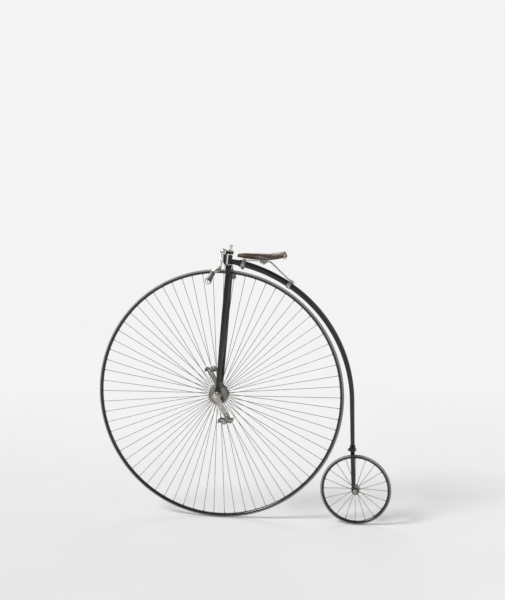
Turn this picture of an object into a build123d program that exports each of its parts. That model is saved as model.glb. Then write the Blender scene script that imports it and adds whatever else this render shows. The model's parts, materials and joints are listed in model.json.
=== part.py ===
from build123d import *
import math
import os

# A high-wheel bicycle with direct drive: a large front wheel that carries the cranks, a small rear wheel,
# one curved tapered backbone, an open steering head and a leather saddle on a leaf spring.
# Millimetres. +X is forward, +Y is the machine's left, +Z is up.
# The origin is the middle of the saddle's top, where the rider sits.
os.makedirs("parts", exist_ok=True)

# Shared by many pieces
RUNNING_FIT = 0.08         # radial clearance of a turning pin in its hole
FIXED_FIT = 0.05           # radial clearance of a keyed or clamped pin
SEAT_GAP = 0.25            # between a piece and the curved seat that carries it
SLIDE_FIT = 0.2            # each side of the spring where it passes through a slot
PAST = 1.0                 # how far a cut runs past the piece that it cuts

# Wheels
FRONT_WHEEL_DIA = 1372.0
REAR_WHEEL_DIA = 381.0
TYRE_GAP = 22.5            # between the two tyres, at their nearest
FRONT_TYRE_DIA = 19.0
REAR_TYRE_DIA = 17.5
RIM_WALL = 2.6
RIM_LIP_ANGLE = 84.0       # how far the rim's channel wraps the tyre, each side of its bottom
FRONT_SPOKE_DIA = 2.8
REAR_SPOKE_DIA = 2.6
FRONT_SPOKE_COUNT = 35     # on each side
REAR_SPOKE_COUNT = 10      # on each side
SPOKE_SPREAD = 2.5         # offset of a spoke's outer end from the wheel's middle plane

# Front hub, from the middle outwards
AXLE_DIA = 16.0
FRONT_FLANGE_DIA = 100.0
FRONT_FLANGE_SPREAD = 68.0     # between the middles of the two flanges
FRONT_FLANGE_WALL = 6.0
FRONT_BARREL_DIA = 34.0
FLANGE_TO_CASE = 5.0
CASE_DIA = 44.0
CASE_WIDTH = 20.0
CASE_TO_CRANK = 5.0
CRANK_BOSS_DIA = 36.0
CRANK_BOSS_WIDTH = 20.0
AXLE_PAST_CRANK = 4.0

# Shape of both hubs and of the bearing cases
FLANGE_DISH = 1.5          # how far a flange's middle stands out from its edge
FLANGE_DISH_SHARE = 0.35   # where the dish begins, from the barrel to the flange's edge
HUB_BELT_WIDTH = 16.0      # raised belt round the barrel's middle, which takes the oil
HUB_BELT_RISE = 2.0
OILER_DIA = 7.0
OILER_RISE = 6.0
CASE_STEP_SHARE = 0.18     # of the case's width, at each end
CASE_STEP = 3.0
CASE_OILER_ANGLE = 60.0    # from straight down towards the front

# Cranks and pedals
CRANK_LENGTH = 133.0
CRANK_ANGLE = 30.0         # left crank, from straight down towards the rear
CRANK_WALL = 10.0
CRANK_ROOT_DIA = 32.0
CRANK_END_DIA = 25.0
CRANK_SLOT_LENGTH = 36.0
CRANK_END_PAST_PIN = 9.0   # from the pin's middle to the middle of the arm's round end
CRANK_CHAMFER = 1.2
PIN_DIA = 12.0
PIN_SHANK_DIA = 10.0
PIN_SHANK_PAST_NUT = 2.0
PIN_SHOULDER_DIA = 20.0
PIN_SHOULDER_WIDTH = 6.0
PIN_NUT_WIDTH = 7.0
PIN_NUT_ACROSS = 19.0
PIN_CAP_DIA = 18.0
PIN_CAP_WIDTH = 5.0
PIN_CAP_CHAMFER = 2.0
PEDAL_WIDTH = 92.0
PEDAL_LENGTH = 70.0
PEDAL_HEIGHT = 20.0
PEDAL_PLATE = 2.5
PEDAL_PLATE_INSET = 3.0    # from the barrel's end to the cage's
PEDAL_PLATE_CORNER = 3.0
PEDAL_PLATE_DROP = 0.5     # end plate's edge under the roots of the teeth
PEDAL_BARREL_DIA = 23.0
PEDAL_BARREL_COLLAR = 9.0
PEDAL_BARREL_TAPER = 7.0
PEDAL_BARREL_WAIST = 3.0   # how far the barrel's middle lies under its ends
PEDAL_EYE_WALL = 3.0
PEDAL_END_GAP = 2.0
PEDAL_TOOTH_COUNT = 9
PEDAL_TOOTH_DEPTH = 4.0

# Fork and steering head, in the frame of the steering axis, which passes through the front hub's middle
HEAD_LEAN = 5.0            # degrees that the steering axis leans back
CROWN_GAP = 8.0            # between tyre and crown
CROWN_INNER = 37.0         # between the crown's legs
CROWN_LEG = 17.0
CROWN_LEG_DROP = 26.0
CROWN_SKIRT = 9.0
CROWN_ROOF = 17.0
CROWN_TOP_WIDTH = 48.0
CROWN_DEPTH = 32.0
CROWN_CORNER = 9.0
CROWN_ARCH_CORNER = 9.0
CROWN_EDGE = 2.5
ARCH_SHARE = 0.95          # most of a crown's arch that its corners take
BLADE_TOP = (30.0, 15.5)   # fore and aft, across
BLADE_MIDDLE = (28.0, 14.5)
BLADE_ANKLE = (20.0, 12.0)
BLADE_FOOT = (31.0, 15.0)
BLADE_MIDDLE_SHARE = 0.62
BLADE_ANKLE_HEIGHT = 50.0  # above the hub
BLADE_FOOT_SINK = 9.0      # how far the foot reaches round the bearing case
SPINDLE_DIA = 24.0
SPINDLE_HEIGHT = 52.0
CONE_TIP_DIA = 8.0
CUP_BOSS_DIA = 32.0
CUP_BOSS_HEIGHT = 3.0
HEAD_WALL = 20.0
HEAD_WALL_INSIDE = 19.0    # from the steering axis to the wall's inner face
HEAD_WIDTH = 32.0
HEAD_FRONT_DIA = 24.0
HEAD_ARM = 16.0
HEAD_WINDOW = 60.0         # clear height between crown and top arm
HEAD_FOOT_RISE = 14.0      # where the wall's front leaves its brace, above the crown
HEAD_ROOT = 6.0            # how deep the wall roots in the crown
HEAD_WINDOW_CORNER = 5.0
HEAD_BROW = 7.0
CENTRE_BOLT_DIA = 14.0
CENTRE_BOLT_RISE = 34.0
CENTRE_CONE_DEPTH = 6.0
CENTRE_CONE_TIP_DIA = 6.0
BOLT_HEAD_DIA = 20.0
BOLT_HEAD_HEIGHT = 12.0
BOLT_HEAD_DOME = 4.0
LOCK_NUT_ACROSS = 24.0
LOCK_NUT_HEIGHT = 8.0

# Handlebar, in the same frame
BAR_DIA = 22.0
BAR_LUG_DIA = 35.0
BAR_LUG_WIDTH = 46.0
BAR_LUG_CHAMFER = 2.5
BAR_FORWARD = 38.0
BAR_RISE = 8.0             # bar's middle above the top arm's underside
BAR_SHOULDER_Y = 52.0
BAR_DROP = 91.0
BAR_DROP_Y = 90.0
BAR_SWEEP_Y = 222.0
BAR_SWEEP_DROP = 8.0
BAR_BEND_RADIUS = 30.0
BAR_GRIP_BEND_RADIUS = 90.0
GRIP_SLOPE = 23.0          # degrees that the grips point down
GRIP_TO_BEND = 3.0         # from the grip to the bar's bend
GRIP_LENGTH = 112.0
GRIP_NECK_DIA = 25.0
GRIP_SWELL = 1.2           # how far the grip has swollen at its middle
GRIP_SWELL_SHARE = 0.55
GRIP_BULB_DIA = 33.0
GRIP_BULB_FROM_END = 14.0
GRIP_ROUND = 6.0
GRIP_END_DIA = 26.0
GRIP_CAP_DIA = 25.0
GRIP_CAP_LENGTH = 9.0

# Backbone
NECK_ABOVE_CROWN = 22.0    # the neck's middle above the crown's roof, along the steering axis
NECK_ROOT_DIA = 26.0
NECK_LENGTH = 62.0
NECK_COLLAR_LENGTH = 9.0
NECK_COLLAR_RISE = 2.5
BONE_TOP_DIA = 36.0
BONE_TAIL_DIA = 22.5
SHOULDER_ANGLE = 50.0      # where the backbone runs level with the tyre, from horizontal
SHOULDER_GAP = 15.0        # between tyre and backbone there
SHOULDER_SHARE = 1 / 3      # of the backbone's taper, reached there
TAIL_SLOPE = 1.1           # degrees that the tail leans from vertical
TAIL_GAP = 15.0            # least gap between the front tyre and the tail

# Rear fork, axle and mounting step
REAR_AXLE_BEHIND = 12.5    # rear axle behind the tail's line
REAR_CROWN_GAP = 7.0
REAR_CROWN_ROOF = 10.0
REAR_CROWN_TOP_WIDTH = 26.0
REAR_CROWN_SKIRT = 8.0
REAR_CROWN_CORNER = 5.0
REAR_CROWN_ARCH_CORNER = 12.0
REAR_CROWN_EDGE = 1.5
REAR_COLLAR_HEIGHT = 12.0
REAR_COLLAR_DIA = 31.0
REAR_COLLAR_CHAMFER = 2.0
REAR_CROWN_INNER = 35.0
REAR_LEG = 9.0
REAR_BLADE_WIDTH = 21.0
REAR_BLADE_END_WIDTH = 17.0
REAR_BLADE_IN_EYE = 7.0    # where a blade ends, above the axle
REAR_BLADE_SET_BACK = 2.0
REAR_EYE_DIA = 36.0
REAR_EYE_WALL = 7.0
REAR_EYE_CHAMFER = 1.2
REAR_DROPOUT_INNER = 62.0
REAR_AXLE_DIA = 9.5
REAR_NUT_ACROSS = 20.0
REAR_NUT_WIDTH = 8.0
REAR_STUB_DIA = 8.5        # plain end of the axle, outside its nut
REAR_STUB_LENGTH = 9.0
REAR_FLANGE_DIA = 42.0
REAR_FLANGE_SPREAD = 44.0
REAR_FLANGE_WALL = 4.0
REAR_BARREL_DIA = 22.0
STEP_ABOVE_CROWN = 6.0
STEP_BAND_HEIGHT = 16.0
STEP_BAND_WALL = 4.0
STEP_EAR = (9.0, 9.0, 12.0)    # fore and aft, outwards, height
STEP_STEM_WIDTH = 20.0
STEP_STEM_WALL = 9.0
STEP_TREAD_LENGTH = 46.0
STEP_TREAD_WIDTH = 48.0
STEP_TREAD_WALL = 4.0
STEP_TREAD_FROM = 26.0
STEP_TREAD_DROP = 4.0      # tread's middle under the band's middle
STEP_TREAD_CORNER = 6.0
STEP_TREAD_MARGIN = 5.0
STEP_TOOTH_COUNT = 6
STEP_TOOTH_DEPTH = 4.0

# Saddle and its spring
SADDLE_BEHIND_HUB = 255.0
NOSE_CLEARANCE = 8.0       # between the nose's rails and the head of the spring's screw
LEATHER_WALL = 5.0
LEATHER_GAP = 0.9          # between the leather and the plates that back it
NOSE_PLATE = (17.0, 14.0)      # width where it meets the leather, length
CANTLE_PLATE = (132.0, 4.0)
CANTLE_PLATE_DEPTH = 26.0      # its lower edge under the saddle's top
PLATE_TAPER = 0.8
RAIL_DIA = 7.0
RAIL_SPREAD = 34.0
RAIL_DEPTH = 27.0          # rails' middle under the saddle's top, behind the nose
RAIL_RISE = 6.0            # how much higher they are at the cantle
NOSE_RAIL_DEPTH = 20.0
NOSE_RAIL_SPREAD = 8.0
NOSE_RAIL_BACK = 10.0      # from the nose plate's front to the rails' start
NOSE_RUN = 92.0            # from the nose plate's front to the rails' bend
SPRING_WALL = 4.5
SPRING_WIDTH = 36.0
SPRING_FRONT_WIDTH = 26.0
SPRING_DEPTH = 41.0        # spring's middle under the saddle's top, at the front of its level stretch
SPRING_FALL = 4.0          # how much lower it is at the rear of that stretch
SPRING_SETTLE = 39.0       # run from the clip to the level stretch
SPRING_PAST_CLAMP = 17.0
SPRING_INTO_SLIDER = 14.0
SPRING_PAST_SLIDER = 18.0
SPRING_BENDS = (40.0, 70.0, 45.0, 60.0)
BEND_SHARE = 0.48          # most of a straight run that the bend at one of its ends takes
CLAMP_X = 5.0
CLAMP_LENGTH = 36.0
CLAMP_WALL = 7.0
CLAMP_CORNER = 4.0
CLAMP_CHAMFER = 4.5        # along the clamp's four long edges
SADDLE_BOLT_DIA = 7.0
SADDLE_NUT_ACROSS = 12.6
SADDLE_NUT_HEIGHT = 6.0
CLIP_WALL = 3.5
CLIP_LENGTH = 20.0
CLIP_RUN = 76.0            # run along the backbone to the front clip's middle
SLIDER_RUN = 350.0
SLIDER_CHEEK = 4.0         # slider's wall beside the spring
SLIDER_CHAMFER = 2.5
SCREW_HEAD = 3.0
SCREW_HEAD_DIA = 14.0
SCREW_HEAD_GAP = 0.05
SCREW_SINK = 2.5           # how deep the screw stands in the clip

# The saddle's leather, one rib a row, from the nose: x, half width, top, skirt
LEATHER_RIBS = [(146, 15, -3, 17), (110, 21, 0, 28), (40, 31, 0, 36), (-30, 62, 0, 36), (-108, 80, 9, 30)]

SIDES = {"left": 1, "right": -1}

# Places that follow from the sizes, from the front hub outwards
front_r = FRONT_WHEEL_DIA / 2
rear_r = REAR_WHEEL_DIA / 2
hub_drop = front_r - rear_r    # rear hub under the front hub
tail_lean = hub_drop * math.tan(math.radians(TAIL_SLOPE))
tyres_need = math.sqrt((front_r + TYRE_GAP + rear_r) ** 2 - hub_drop ** 2)
tail_needs = front_r + TAIL_GAP + BONE_TAIL_DIA / 2 + tail_lean + REAR_AXLE_BEHIND
wheelbase = max(tyres_need, tail_needs)    # room both for the two tyres and for the backbone's tail
case_inner_y = FRONT_FLANGE_SPREAD / 2 + FRONT_FLANGE_WALL / 2 + FLANGE_TO_CASE
case_outer_y = case_inner_y + CASE_WIDTH
case_mid_y = (case_inner_y + case_outer_y) / 2
crank_inner_y = case_outer_y + CASE_TO_CRANK
crank_outer_y = crank_inner_y + CRANK_BOSS_WIDTH
crank_mid_y = (crank_inner_y + crank_outer_y) / 2
axle_half = crank_outer_y + AXLE_PAST_CRANK
arm_outer_y = crank_mid_y + CRANK_WALL / 2
arm_inner_y = crank_mid_y - CRANK_WALL / 2
shoulder_y = arm_outer_y + PIN_SHOULDER_WIDTH
pedal_inner_y = shoulder_y + PEDAL_END_GAP
pedal_outer_y = pedal_inner_y + PEDAL_WIDTH
pin_end_y = pedal_outer_y + PEDAL_END_GAP

# Heights along the steering axis
crown_under = front_r + CROWN_GAP
crown_top = crown_under + CROWN_ROOF
crown_foot = crown_under - CROWN_LEG_DROP
boss_top = crown_top + CUP_BOSS_HEIGHT
spindle_top = boss_top + SPINDLE_HEIGHT
arm_under = crown_top + HEAD_WINDOW
arm_top = arm_under + HEAD_ARM
bolt_top = arm_top + CENTRE_BOLT_RISE
bar_z = arm_under + BAR_RISE
neck_z = crown_top + NECK_ABOVE_CROWN
leg_y = (CROWN_INNER + CROWN_LEG) / 2
blade_foot_z = CASE_DIA / 2 - BLADE_FOOT_SINK

# The backbone's line lies in the middle plane: u is rearward and w upward from the front hub.
lean = math.radians(HEAD_LEAN)
neck_u = neck_z * math.sin(lean)
neck_w = neck_z * math.cos(lean)
shoulder_dia = BONE_TOP_DIA + (BONE_TAIL_DIA - BONE_TOP_DIA) * SHOULDER_SHARE
shoulder_away = front_r + SHOULDER_GAP + shoulder_dia / 2
shoulder = math.radians(SHOULDER_ANGLE)
shoulder_u = shoulder_away * math.cos(shoulder)
shoulder_w = shoulder_away * math.sin(shoulder)
head_to_shoulder = math.atan2(neck_w - shoulder_w, shoulder_u - neck_u)
shoulder_heading = math.pi / 2 - shoulder
neck_heading = 2 * head_to_shoulder - shoulder_heading
upper_r = (shoulder_u - neck_u) / (math.sin(shoulder_heading) - math.sin(neck_heading))
tail_heading = math.radians(90 - TAIL_SLOPE)
rear_w = -hub_drop
tail_u = wheelbase - REAR_AXLE_BEHIND
tail_away = (tail_u - shoulder_u) * math.sin(tail_heading) + (rear_w - shoulder_w) * math.cos(tail_heading)
lower_r = tail_away / (1 - math.cos(tail_heading - shoulder_heading))
rear_crown_w = rear_w + rear_r + REAR_CROWN_GAP + REAR_CROWN_ROOF + REAR_COLLAR_HEIGHT


def upper_spot(heading):
    """A place on the upper arc, where the backbone heads that far below level."""
    u = neck_u + upper_r * (math.sin(heading) - math.sin(neck_heading))
    w = neck_w + upper_r * (math.cos(heading) - math.cos(neck_heading))
    return u, w


def lower_spot(heading):
    """A place on the lower arc."""
    u = shoulder_u + lower_r * (math.sin(heading) - math.sin(shoulder_heading))
    w = shoulder_w + lower_r * (math.cos(heading) - math.cos(shoulder_heading))
    return u, w


def tail_spot(w):
    """A place on the straight tail at a height."""
    return tail_u - (w - rear_w) * math.tan(math.radians(TAIL_SLOPE)), w


upper_length = upper_r * (shoulder_heading - neck_heading)
lower_length = lower_r * (tail_heading - shoulder_heading)
straight_length = lower_spot(tail_heading)[1] - rear_crown_w
bone_length = upper_length + lower_length + straight_length


def bone_radius(run):
    """The backbone tapers evenly along its run from the neck."""
    return (BONE_TOP_DIA + (BONE_TAIL_DIA - BONE_TOP_DIA) * run / bone_length) / 2


neck_end_heading = neck_heading + NECK_LENGTH / upper_r
clip_heading = neck_heading + CLIP_RUN / upper_r
slider_heading = neck_heading + SLIDER_RUN / upper_r
clip_r = bone_radius(CLIP_RUN) + SEAT_GAP
slider_r = bone_radius(SLIDER_RUN) + SEAT_GAP
spring_on_clip = clip_r + CLIP_WALL + SPRING_WALL / 2
spring_on_slider = slider_r + CLIP_WALL + SPRING_WALL / 2

# The saddle's height follows from the spring's screw, whose head passes under the nose's rails.
screw_head_top = clip_r + CLIP_WALL + SPRING_WALL + SCREW_HEAD_GAP + SCREW_HEAD
screw_head_w = upper_spot(clip_heading)[1] + screw_head_top * math.cos(clip_heading)
nose_rail_w = screw_head_w + NOSE_CLEARANCE + RAIL_DIA / 2
hub_x = SADDLE_BEHIND_HUB
hub_z = -nose_rail_w - NOSE_RAIL_DEPTH
rear_hub_x = hub_x - wheelbase
rear_hub_z = hub_z - hub_drop


# Helpers

def save(shape, node):
    """Write one piece to its own file."""
    export_step(shape, f"parts/{node}.step")


def sideways(radius, y_from, y_to, x=0.0, z=0.0):
    """A round bar along Y between two places."""
    base = Plane(origin=(x, y_from, z), x_dir=(1, 0, 0), z_dir=(0, math.copysign(1, y_to - y_from), 0))
    return extrude(base * Circle(radius), abs(y_to - y_from))


def upright(radius, z_from, z_to):
    """A round bar along Z between two heights."""
    return extrude(Plane.XY.offset(z_from) * Circle(radius), z_to - z_from)


def ring_of(points):
    """Turn an outline of (radius, y) points about the Y axis."""
    outline = Polyline(*[(r, y, 0) for r, y in points], close=True)
    return revolve(make_face(outline), Axis.Y, 360)


def hex_bar(across, y_from, y_to, x=0.0, z=0.0):
    """A six-sided nut along Y."""
    base = Plane(origin=(x, min(y_from, y_to), z), x_dir=(1, 0, 0), z_dir=(0, 1, 0))
    return extrude(base * RegularPolygon(across / 2, 6, major_radius=False), abs(y_to - y_from))


def seen_from_front(x=0.0, step=1):
    """A drawing plane across the machine, Y to its right and Z up, facing forward or back."""
    return Plane(origin=(x, 0, 0), x_dir=(0, step, 0), z_dir=(step, 0, 0))


def at_hub(shape):
    """From the front hub's own frame to the machine's frame."""
    return Pos(hub_x, 0, hub_z) * shape


def at_rear_hub(shape):
    """From the rear hub's own frame to the machine's frame."""
    return Pos(rear_hub_x, 0, rear_hub_z) * shape


def on_steering_axis(shape):
    """From the steering axis's frame, X forward and Z along the axis, to the machine's frame."""
    return Pos(hub_x, 0, hub_z) * Rot(0, -HEAD_LEAN, 0) * shape


def on_tail(shape):
    """From the tail's own frame, its origin at the rear crown's top and Z up along the tail."""
    u, w = tail_spot(rear_crown_w)
    return Pos(hub_x - u, 0, hub_z + w) * Rot(0, TAIL_SLOPE, 0) * shape


def from_bone(heading, above):
    """A place above the backbone's middle line, square to it, in the machine's frame: x and z."""
    u, w = upper_spot(heading)
    return hub_x - u - above * math.sin(heading), hub_z + w + above * math.cos(heading)


def on_bone(heading, shape):
    """From a frame on the backbone's middle line, X forward along it and Z out from it."""
    x, z = from_bone(heading, 0)
    return Pos(x, 0, z) * Rot(0, -math.degrees(heading), 0) * shape


# Wheels

def tyre_ring(wheel_r, tyre_dia):
    """A round solid tyre."""
    section = Plane.XY * Pos(wheel_r - tyre_dia / 2, 0) * Circle(tyre_dia / 2)
    return revolve(section, Axis.Y, 360)


def rim_ring(wheel_r, tyre_dia):
    """A channel of even wall that cups the inner half of the tyre, with rounded lips."""
    middle = wheel_r - tyre_dia / 2
    inside = tyre_dia / 2 + SEAT_GAP
    outside = inside + RIM_WALL
    half = inside + RIM_WALL / 2
    lip = math.radians(RIM_LIP_ANGLE)
    past = math.asin(RIM_WALL / 2 / half)

    def spot(radius, angle):
        return middle - radius * math.cos(angle), radius * math.sin(angle)

    cup = ThreePointArc(spot(inside, -lip), spot(inside, 0), spot(inside, lip))
    lip_one = ThreePointArc(spot(inside, lip), spot(half, lip + past), spot(outside, lip))
    back = ThreePointArc(spot(outside, lip), spot(outside, 0), spot(outside, -lip))
    lip_two = ThreePointArc(spot(outside, -lip), spot(half, -lip - past), spot(inside, -lip))
    return revolve(make_face([cup, lip_one, back, lip_two]), Axis.Y, 360)


# wheel radius, tyre diameter, flange diameter, flange from the middle, spoke diameter, spokes a side
FRONT_WHEEL = (front_r, FRONT_TYRE_DIA, FRONT_FLANGE_DIA, FRONT_FLANGE_SPREAD / 2, FRONT_SPOKE_DIA,
               FRONT_SPOKE_COUNT)
REAR_WHEEL = (rear_r, REAR_TYRE_DIA, REAR_FLANGE_DIA, REAR_FLANGE_SPREAD / 2, REAR_SPOKE_DIA,
              REAR_SPOKE_COUNT)


def spoke_set(wheel, side):
    """Direct spokes from one flange's edge to the rim's back. The left flange's stand half a pitch on."""
    wheel_r, tyre_dia, flange_dia, flange_y, spoke_dia, count = wheel
    rim_back = wheel_r - tyre_dia - SEAT_GAP - RIM_WALL
    start = Vector(flange_dia / 2 + SEAT_GAP, side * flange_y, 0)
    end = Vector(rim_back - 2 * SEAT_GAP, side * SPOKE_SPREAD, 0)
    along = end - start
    base = Plane(origin=start, x_dir=(0, 0, 1), z_dir=along.normalized())
    spoke = extrude(base * Circle(spoke_dia / 2), along.length)
    pitch = 360 / count
    first = pitch / 2 if side > 0 else 0
    return Compound([Rot(0, first + pitch * i, 0) * spoke for i in range(count)])


def flanged_hub(flange_dia, flange_spread, flange_wall, barrel_dia, bore_dia):
    """Two dished flanges on a barrel with a raised belt and an oiler, bored for the axle."""
    outer = flange_spread / 2 + flange_wall / 2
    inner = outer - flange_wall
    barrel = barrel_dia / 2
    rise = barrel + (flange_dia / 2 - barrel) * FLANGE_DISH_SHARE
    edge = flange_dia / 2
    belt = HUB_BELT_WIDTH / 2
    half = [(bore_dia / 2, outer + FLANGE_DISH), (barrel, outer + FLANGE_DISH), (rise, outer), (edge, outer),
            (edge, inner), (rise, inner - FLANGE_DISH), (barrel, inner - flange_wall),
            (barrel, belt + HUB_BELT_RISE), (barrel + HUB_BELT_RISE, belt)]
    body = ring_of(half + [(r, -y) for r, y in reversed(half)])
    oiler = upright(OILER_DIA / 2, barrel - PAST, barrel + HUB_BELT_RISE + OILER_RISE)
    return body + oiler


# Driving gear

def crank(side):
    """A tapered, chamfered arm with a round boss and a slot for the pedal pin, hanging straight down."""
    face = Plane(origin=(0, side * crank_mid_y, 0), x_dir=(1, 0, 0), z_dir=(0, -1, 0))
    end_z = -CRANK_LENGTH - CRANK_END_PAST_PIN
    outline = Circle(CRANK_ROOT_DIA / 2).edges() + (Pos(0, end_z) * Circle(CRANK_END_DIA / 2)).edges()
    arm = extrude(face * make_hull(outline), CRANK_WALL / 2, both=True)
    arm = chamfer(arm.edges().group_by(Axis.Y)[0] + arm.edges().group_by(Axis.Y)[-1], CRANK_CHAMFER)
    boss = sideways(CRANK_BOSS_DIA / 2, side * crank_inner_y, side * crank_outer_y)
    boss = chamfer(boss.edges().filter_by(GeomType.CIRCLE), CRANK_CHAMFER)
    slot = Pos(0, -CRANK_LENGTH) * SlotOverall(CRANK_SLOT_LENGTH, PIN_SHANK_DIA + 2 * FIXED_FIT, rotation=90)
    slot_cut = extrude(face * slot, CRANK_WALL, both=True)
    bore = sideways(AXLE_DIA / 2 + FIXED_FIT, side * (crank_inner_y - PAST), side * (crank_outer_y + PAST))
    return arm + boss - slot_cut - bore


def crank_turn(side):
    """The cranks stand opposite each other."""
    return Rot(0, CRANK_ANGLE if side > 0 else CRANK_ANGLE + 180, 0)


def pedal_pin(side):
    """Shank and nut in the crank's slot, shoulder, pin, and a cap that keeps the pedal on."""
    shank_end = arm_inner_y - PIN_NUT_WIDTH - PIN_SHANK_PAST_NUT
    cap_end = pin_end_y + PIN_CAP_WIDTH
    shank = PIN_SHANK_DIA / 2
    shoulder_edge = PIN_SHOULDER_DIA / 2
    cap = PIN_CAP_DIA / 2
    points = [(0, shank_end), (shank, shank_end), (shank, arm_outer_y), (shoulder_edge, arm_outer_y),
              (shoulder_edge, shoulder_y), (PIN_DIA / 2, shoulder_y), (PIN_DIA / 2, pin_end_y),
              (cap, pin_end_y), (cap, cap_end - PIN_CAP_CHAMFER), (cap - PIN_CAP_CHAMFER, cap_end),
              (0, cap_end)]
    nut = hex_bar(PIN_NUT_ACROSS, side * (arm_inner_y - PIN_NUT_WIDTH), side * arm_inner_y)
    return Pos(0, 0, -CRANK_LENGTH) * (ring_of([(r, side * y) for r, y in points]) + nut)


def at_pedal(side, shape):
    """From a frame on a pedal's pin to the front hub's frame, with the cranks at rest."""
    angle = math.radians(CRANK_ANGLE)
    return Pos(-side * CRANK_LENGTH * math.sin(angle), 0, -side * CRANK_LENGTH * math.cos(angle)) * shape


def pedal_barrel(side):
    """The bored sleeve that turns on the pin, slimmer in its middle."""
    end = PEDAL_BARREL_DIA / 2
    waist = end - PEDAL_BARREL_WAIST
    bore = PIN_DIA / 2 + RUNNING_FIT
    taper = PEDAL_BARREL_COLLAR + PEDAL_BARREL_TAPER
    low = pedal_inner_y
    high = pedal_outer_y
    points = [(bore, low), (end, low), (end, low + PEDAL_BARREL_COLLAR), (waist, low + taper),
              (waist, high - taper), (end, high - PEDAL_BARREL_COLLAR), (end, high), (bore, high)]
    return at_pedal(side, ring_of([(r, side * y) for r, y in points]))


def pedal_cage(side):
    """Two toothed plates joined by end plates, open in the middle."""
    inner = pedal_inner_y + PEDAL_PLATE_INSET
    outer = pedal_outer_y - PEDAL_PLATE_INSET
    pitch = (outer - inner) / PEDAL_TOOTH_COUNT
    crest = PEDAL_HEIGHT / 2
    root = crest - PEDAL_TOOTH_DEPTH
    top = [(inner, root)]
    for i in range(PEDAL_TOOTH_COUNT):
        top += [(inner + pitch * (i + 0.5), crest), (inner + pitch * (i + 1), root)]
    outline = top + [(y, -z) for y, z in reversed(top)]
    face = seen_from_front(step=side) * make_face(Polyline(*outline, close=True))
    toothed = extrude(face, PEDAL_PLATE / 2, both=True)
    half = PEDAL_LENGTH / 2 - PEDAL_PLATE / 2
    cage = Pos(half, 0, 0) * toothed + Pos(-half, 0, 0) * toothed
    plate = RectangleRounded(2 * half, 2 * (root - PEDAL_PLATE_DROP), PEDAL_PLATE_CORNER)
    plate += Circle(PEDAL_BARREL_DIA / 2 + PEDAL_EYE_WALL)
    for y in (inner, outer - PEDAL_PLATE):
        face = Plane(origin=(0, side * y, 0), x_dir=(1, 0, 0), z_dir=(0, side, 0))
        cage += extrude(face * plate, PEDAL_PLATE)
    cage -= sideways(PEDAL_BARREL_DIA / 2 + FIXED_FIT, side * (inner - PAST), side * (outer + PAST))
    return at_pedal(side, cage)


# Fork and steering head

def crown(inner, leg, under, roof, skirt, top_width, depth, corner, arch_corner, edge):
    """A fork crown: a roof whose shoulders slope down to two short skirts, arched over the tyre, its edges
    rounded front and back."""
    out = inner / 2 + leg
    face = make_face(Polyline((-out, under - skirt), (-out, under), (-top_width / 2, under + roof),
                              (top_width / 2, under + roof), (out, under), (out, under - skirt), close=True))
    face = fillet(face.vertices().filter_by(lambda v: v.Y > under - skirt / 2), corner)
    gap = Pos(0, under - skirt) * Rectangle(inner, 2 * skirt)
    arch_corner = min(arch_corner, ARCH_SHARE * 2 * skirt)
    gap = fillet(gap.vertices().filter_by(lambda v: v.Y > under - skirt / 2), arch_corner)
    body = extrude(seen_from_front() * (face - gap), depth / 2, both=True)
    rims = body.faces().filter_by(Axis.X).edges().filter_by(lambda e: e.center().Z > under - skirt + PAST / 2)
    return fillet(rims, edge)


def spindle_cone(clearance):
    """The lower cone of the spindle, which stands in the crown's cup, grown by a clearance."""
    deep = (SPINDLE_DIA - CONE_TIP_DIA) / 2
    low = Plane.XY.offset(boss_top - deep - clearance) * Circle(CONE_TIP_DIA / 2 + clearance)
    high = Plane.XY.offset(boss_top) * Circle(SPINDLE_DIA / 2 + clearance * math.sqrt(2))
    return loft([low, high])


def head_plan():
    """The head seen from above: round over the steering axis and drawn in towards its front."""
    front = HEAD_WALL_INSIDE + HEAD_WALL - HEAD_FRONT_DIA / 2
    outline = Circle(HEAD_WIDTH / 2).edges() + (Pos(front, 0) * Circle(HEAD_FRONT_DIA / 2)).edges()
    return make_hull(outline)


def head_side():
    """The head seen from its side: a braced wall that rises from the crown, and the top arm."""
    wall_out = HEAD_WALL_INSIDE + HEAD_WALL
    crown_front = CROWN_DEPTH / 2
    inner_foot = crown_front / 2
    face = make_face(Polyline(
        (HEAD_WALL_INSIDE, arm_under), (HEAD_WALL_INSIDE, crown_top), (inner_foot, crown_top - HEAD_ROOT),
        (inner_foot, crown_under + HEAD_ROOT), (crown_front - CROWN_EDGE, crown_under + HEAD_ROOT),
        (wall_out, crown_top + HEAD_FOOT_RISE), (wall_out, arm_top), (0, arm_top), (0, arm_under),
        close=True))
    window = face.vertices().filter_by(lambda v: abs(v.X - HEAD_WALL_INSIDE) < PAST)
    face = fillet(window, HEAD_WINDOW_CORNER)
    brow = face.vertices().filter_by(lambda v: abs(v.X - wall_out) < PAST)
    return fillet(brow, HEAD_BROW)


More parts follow.
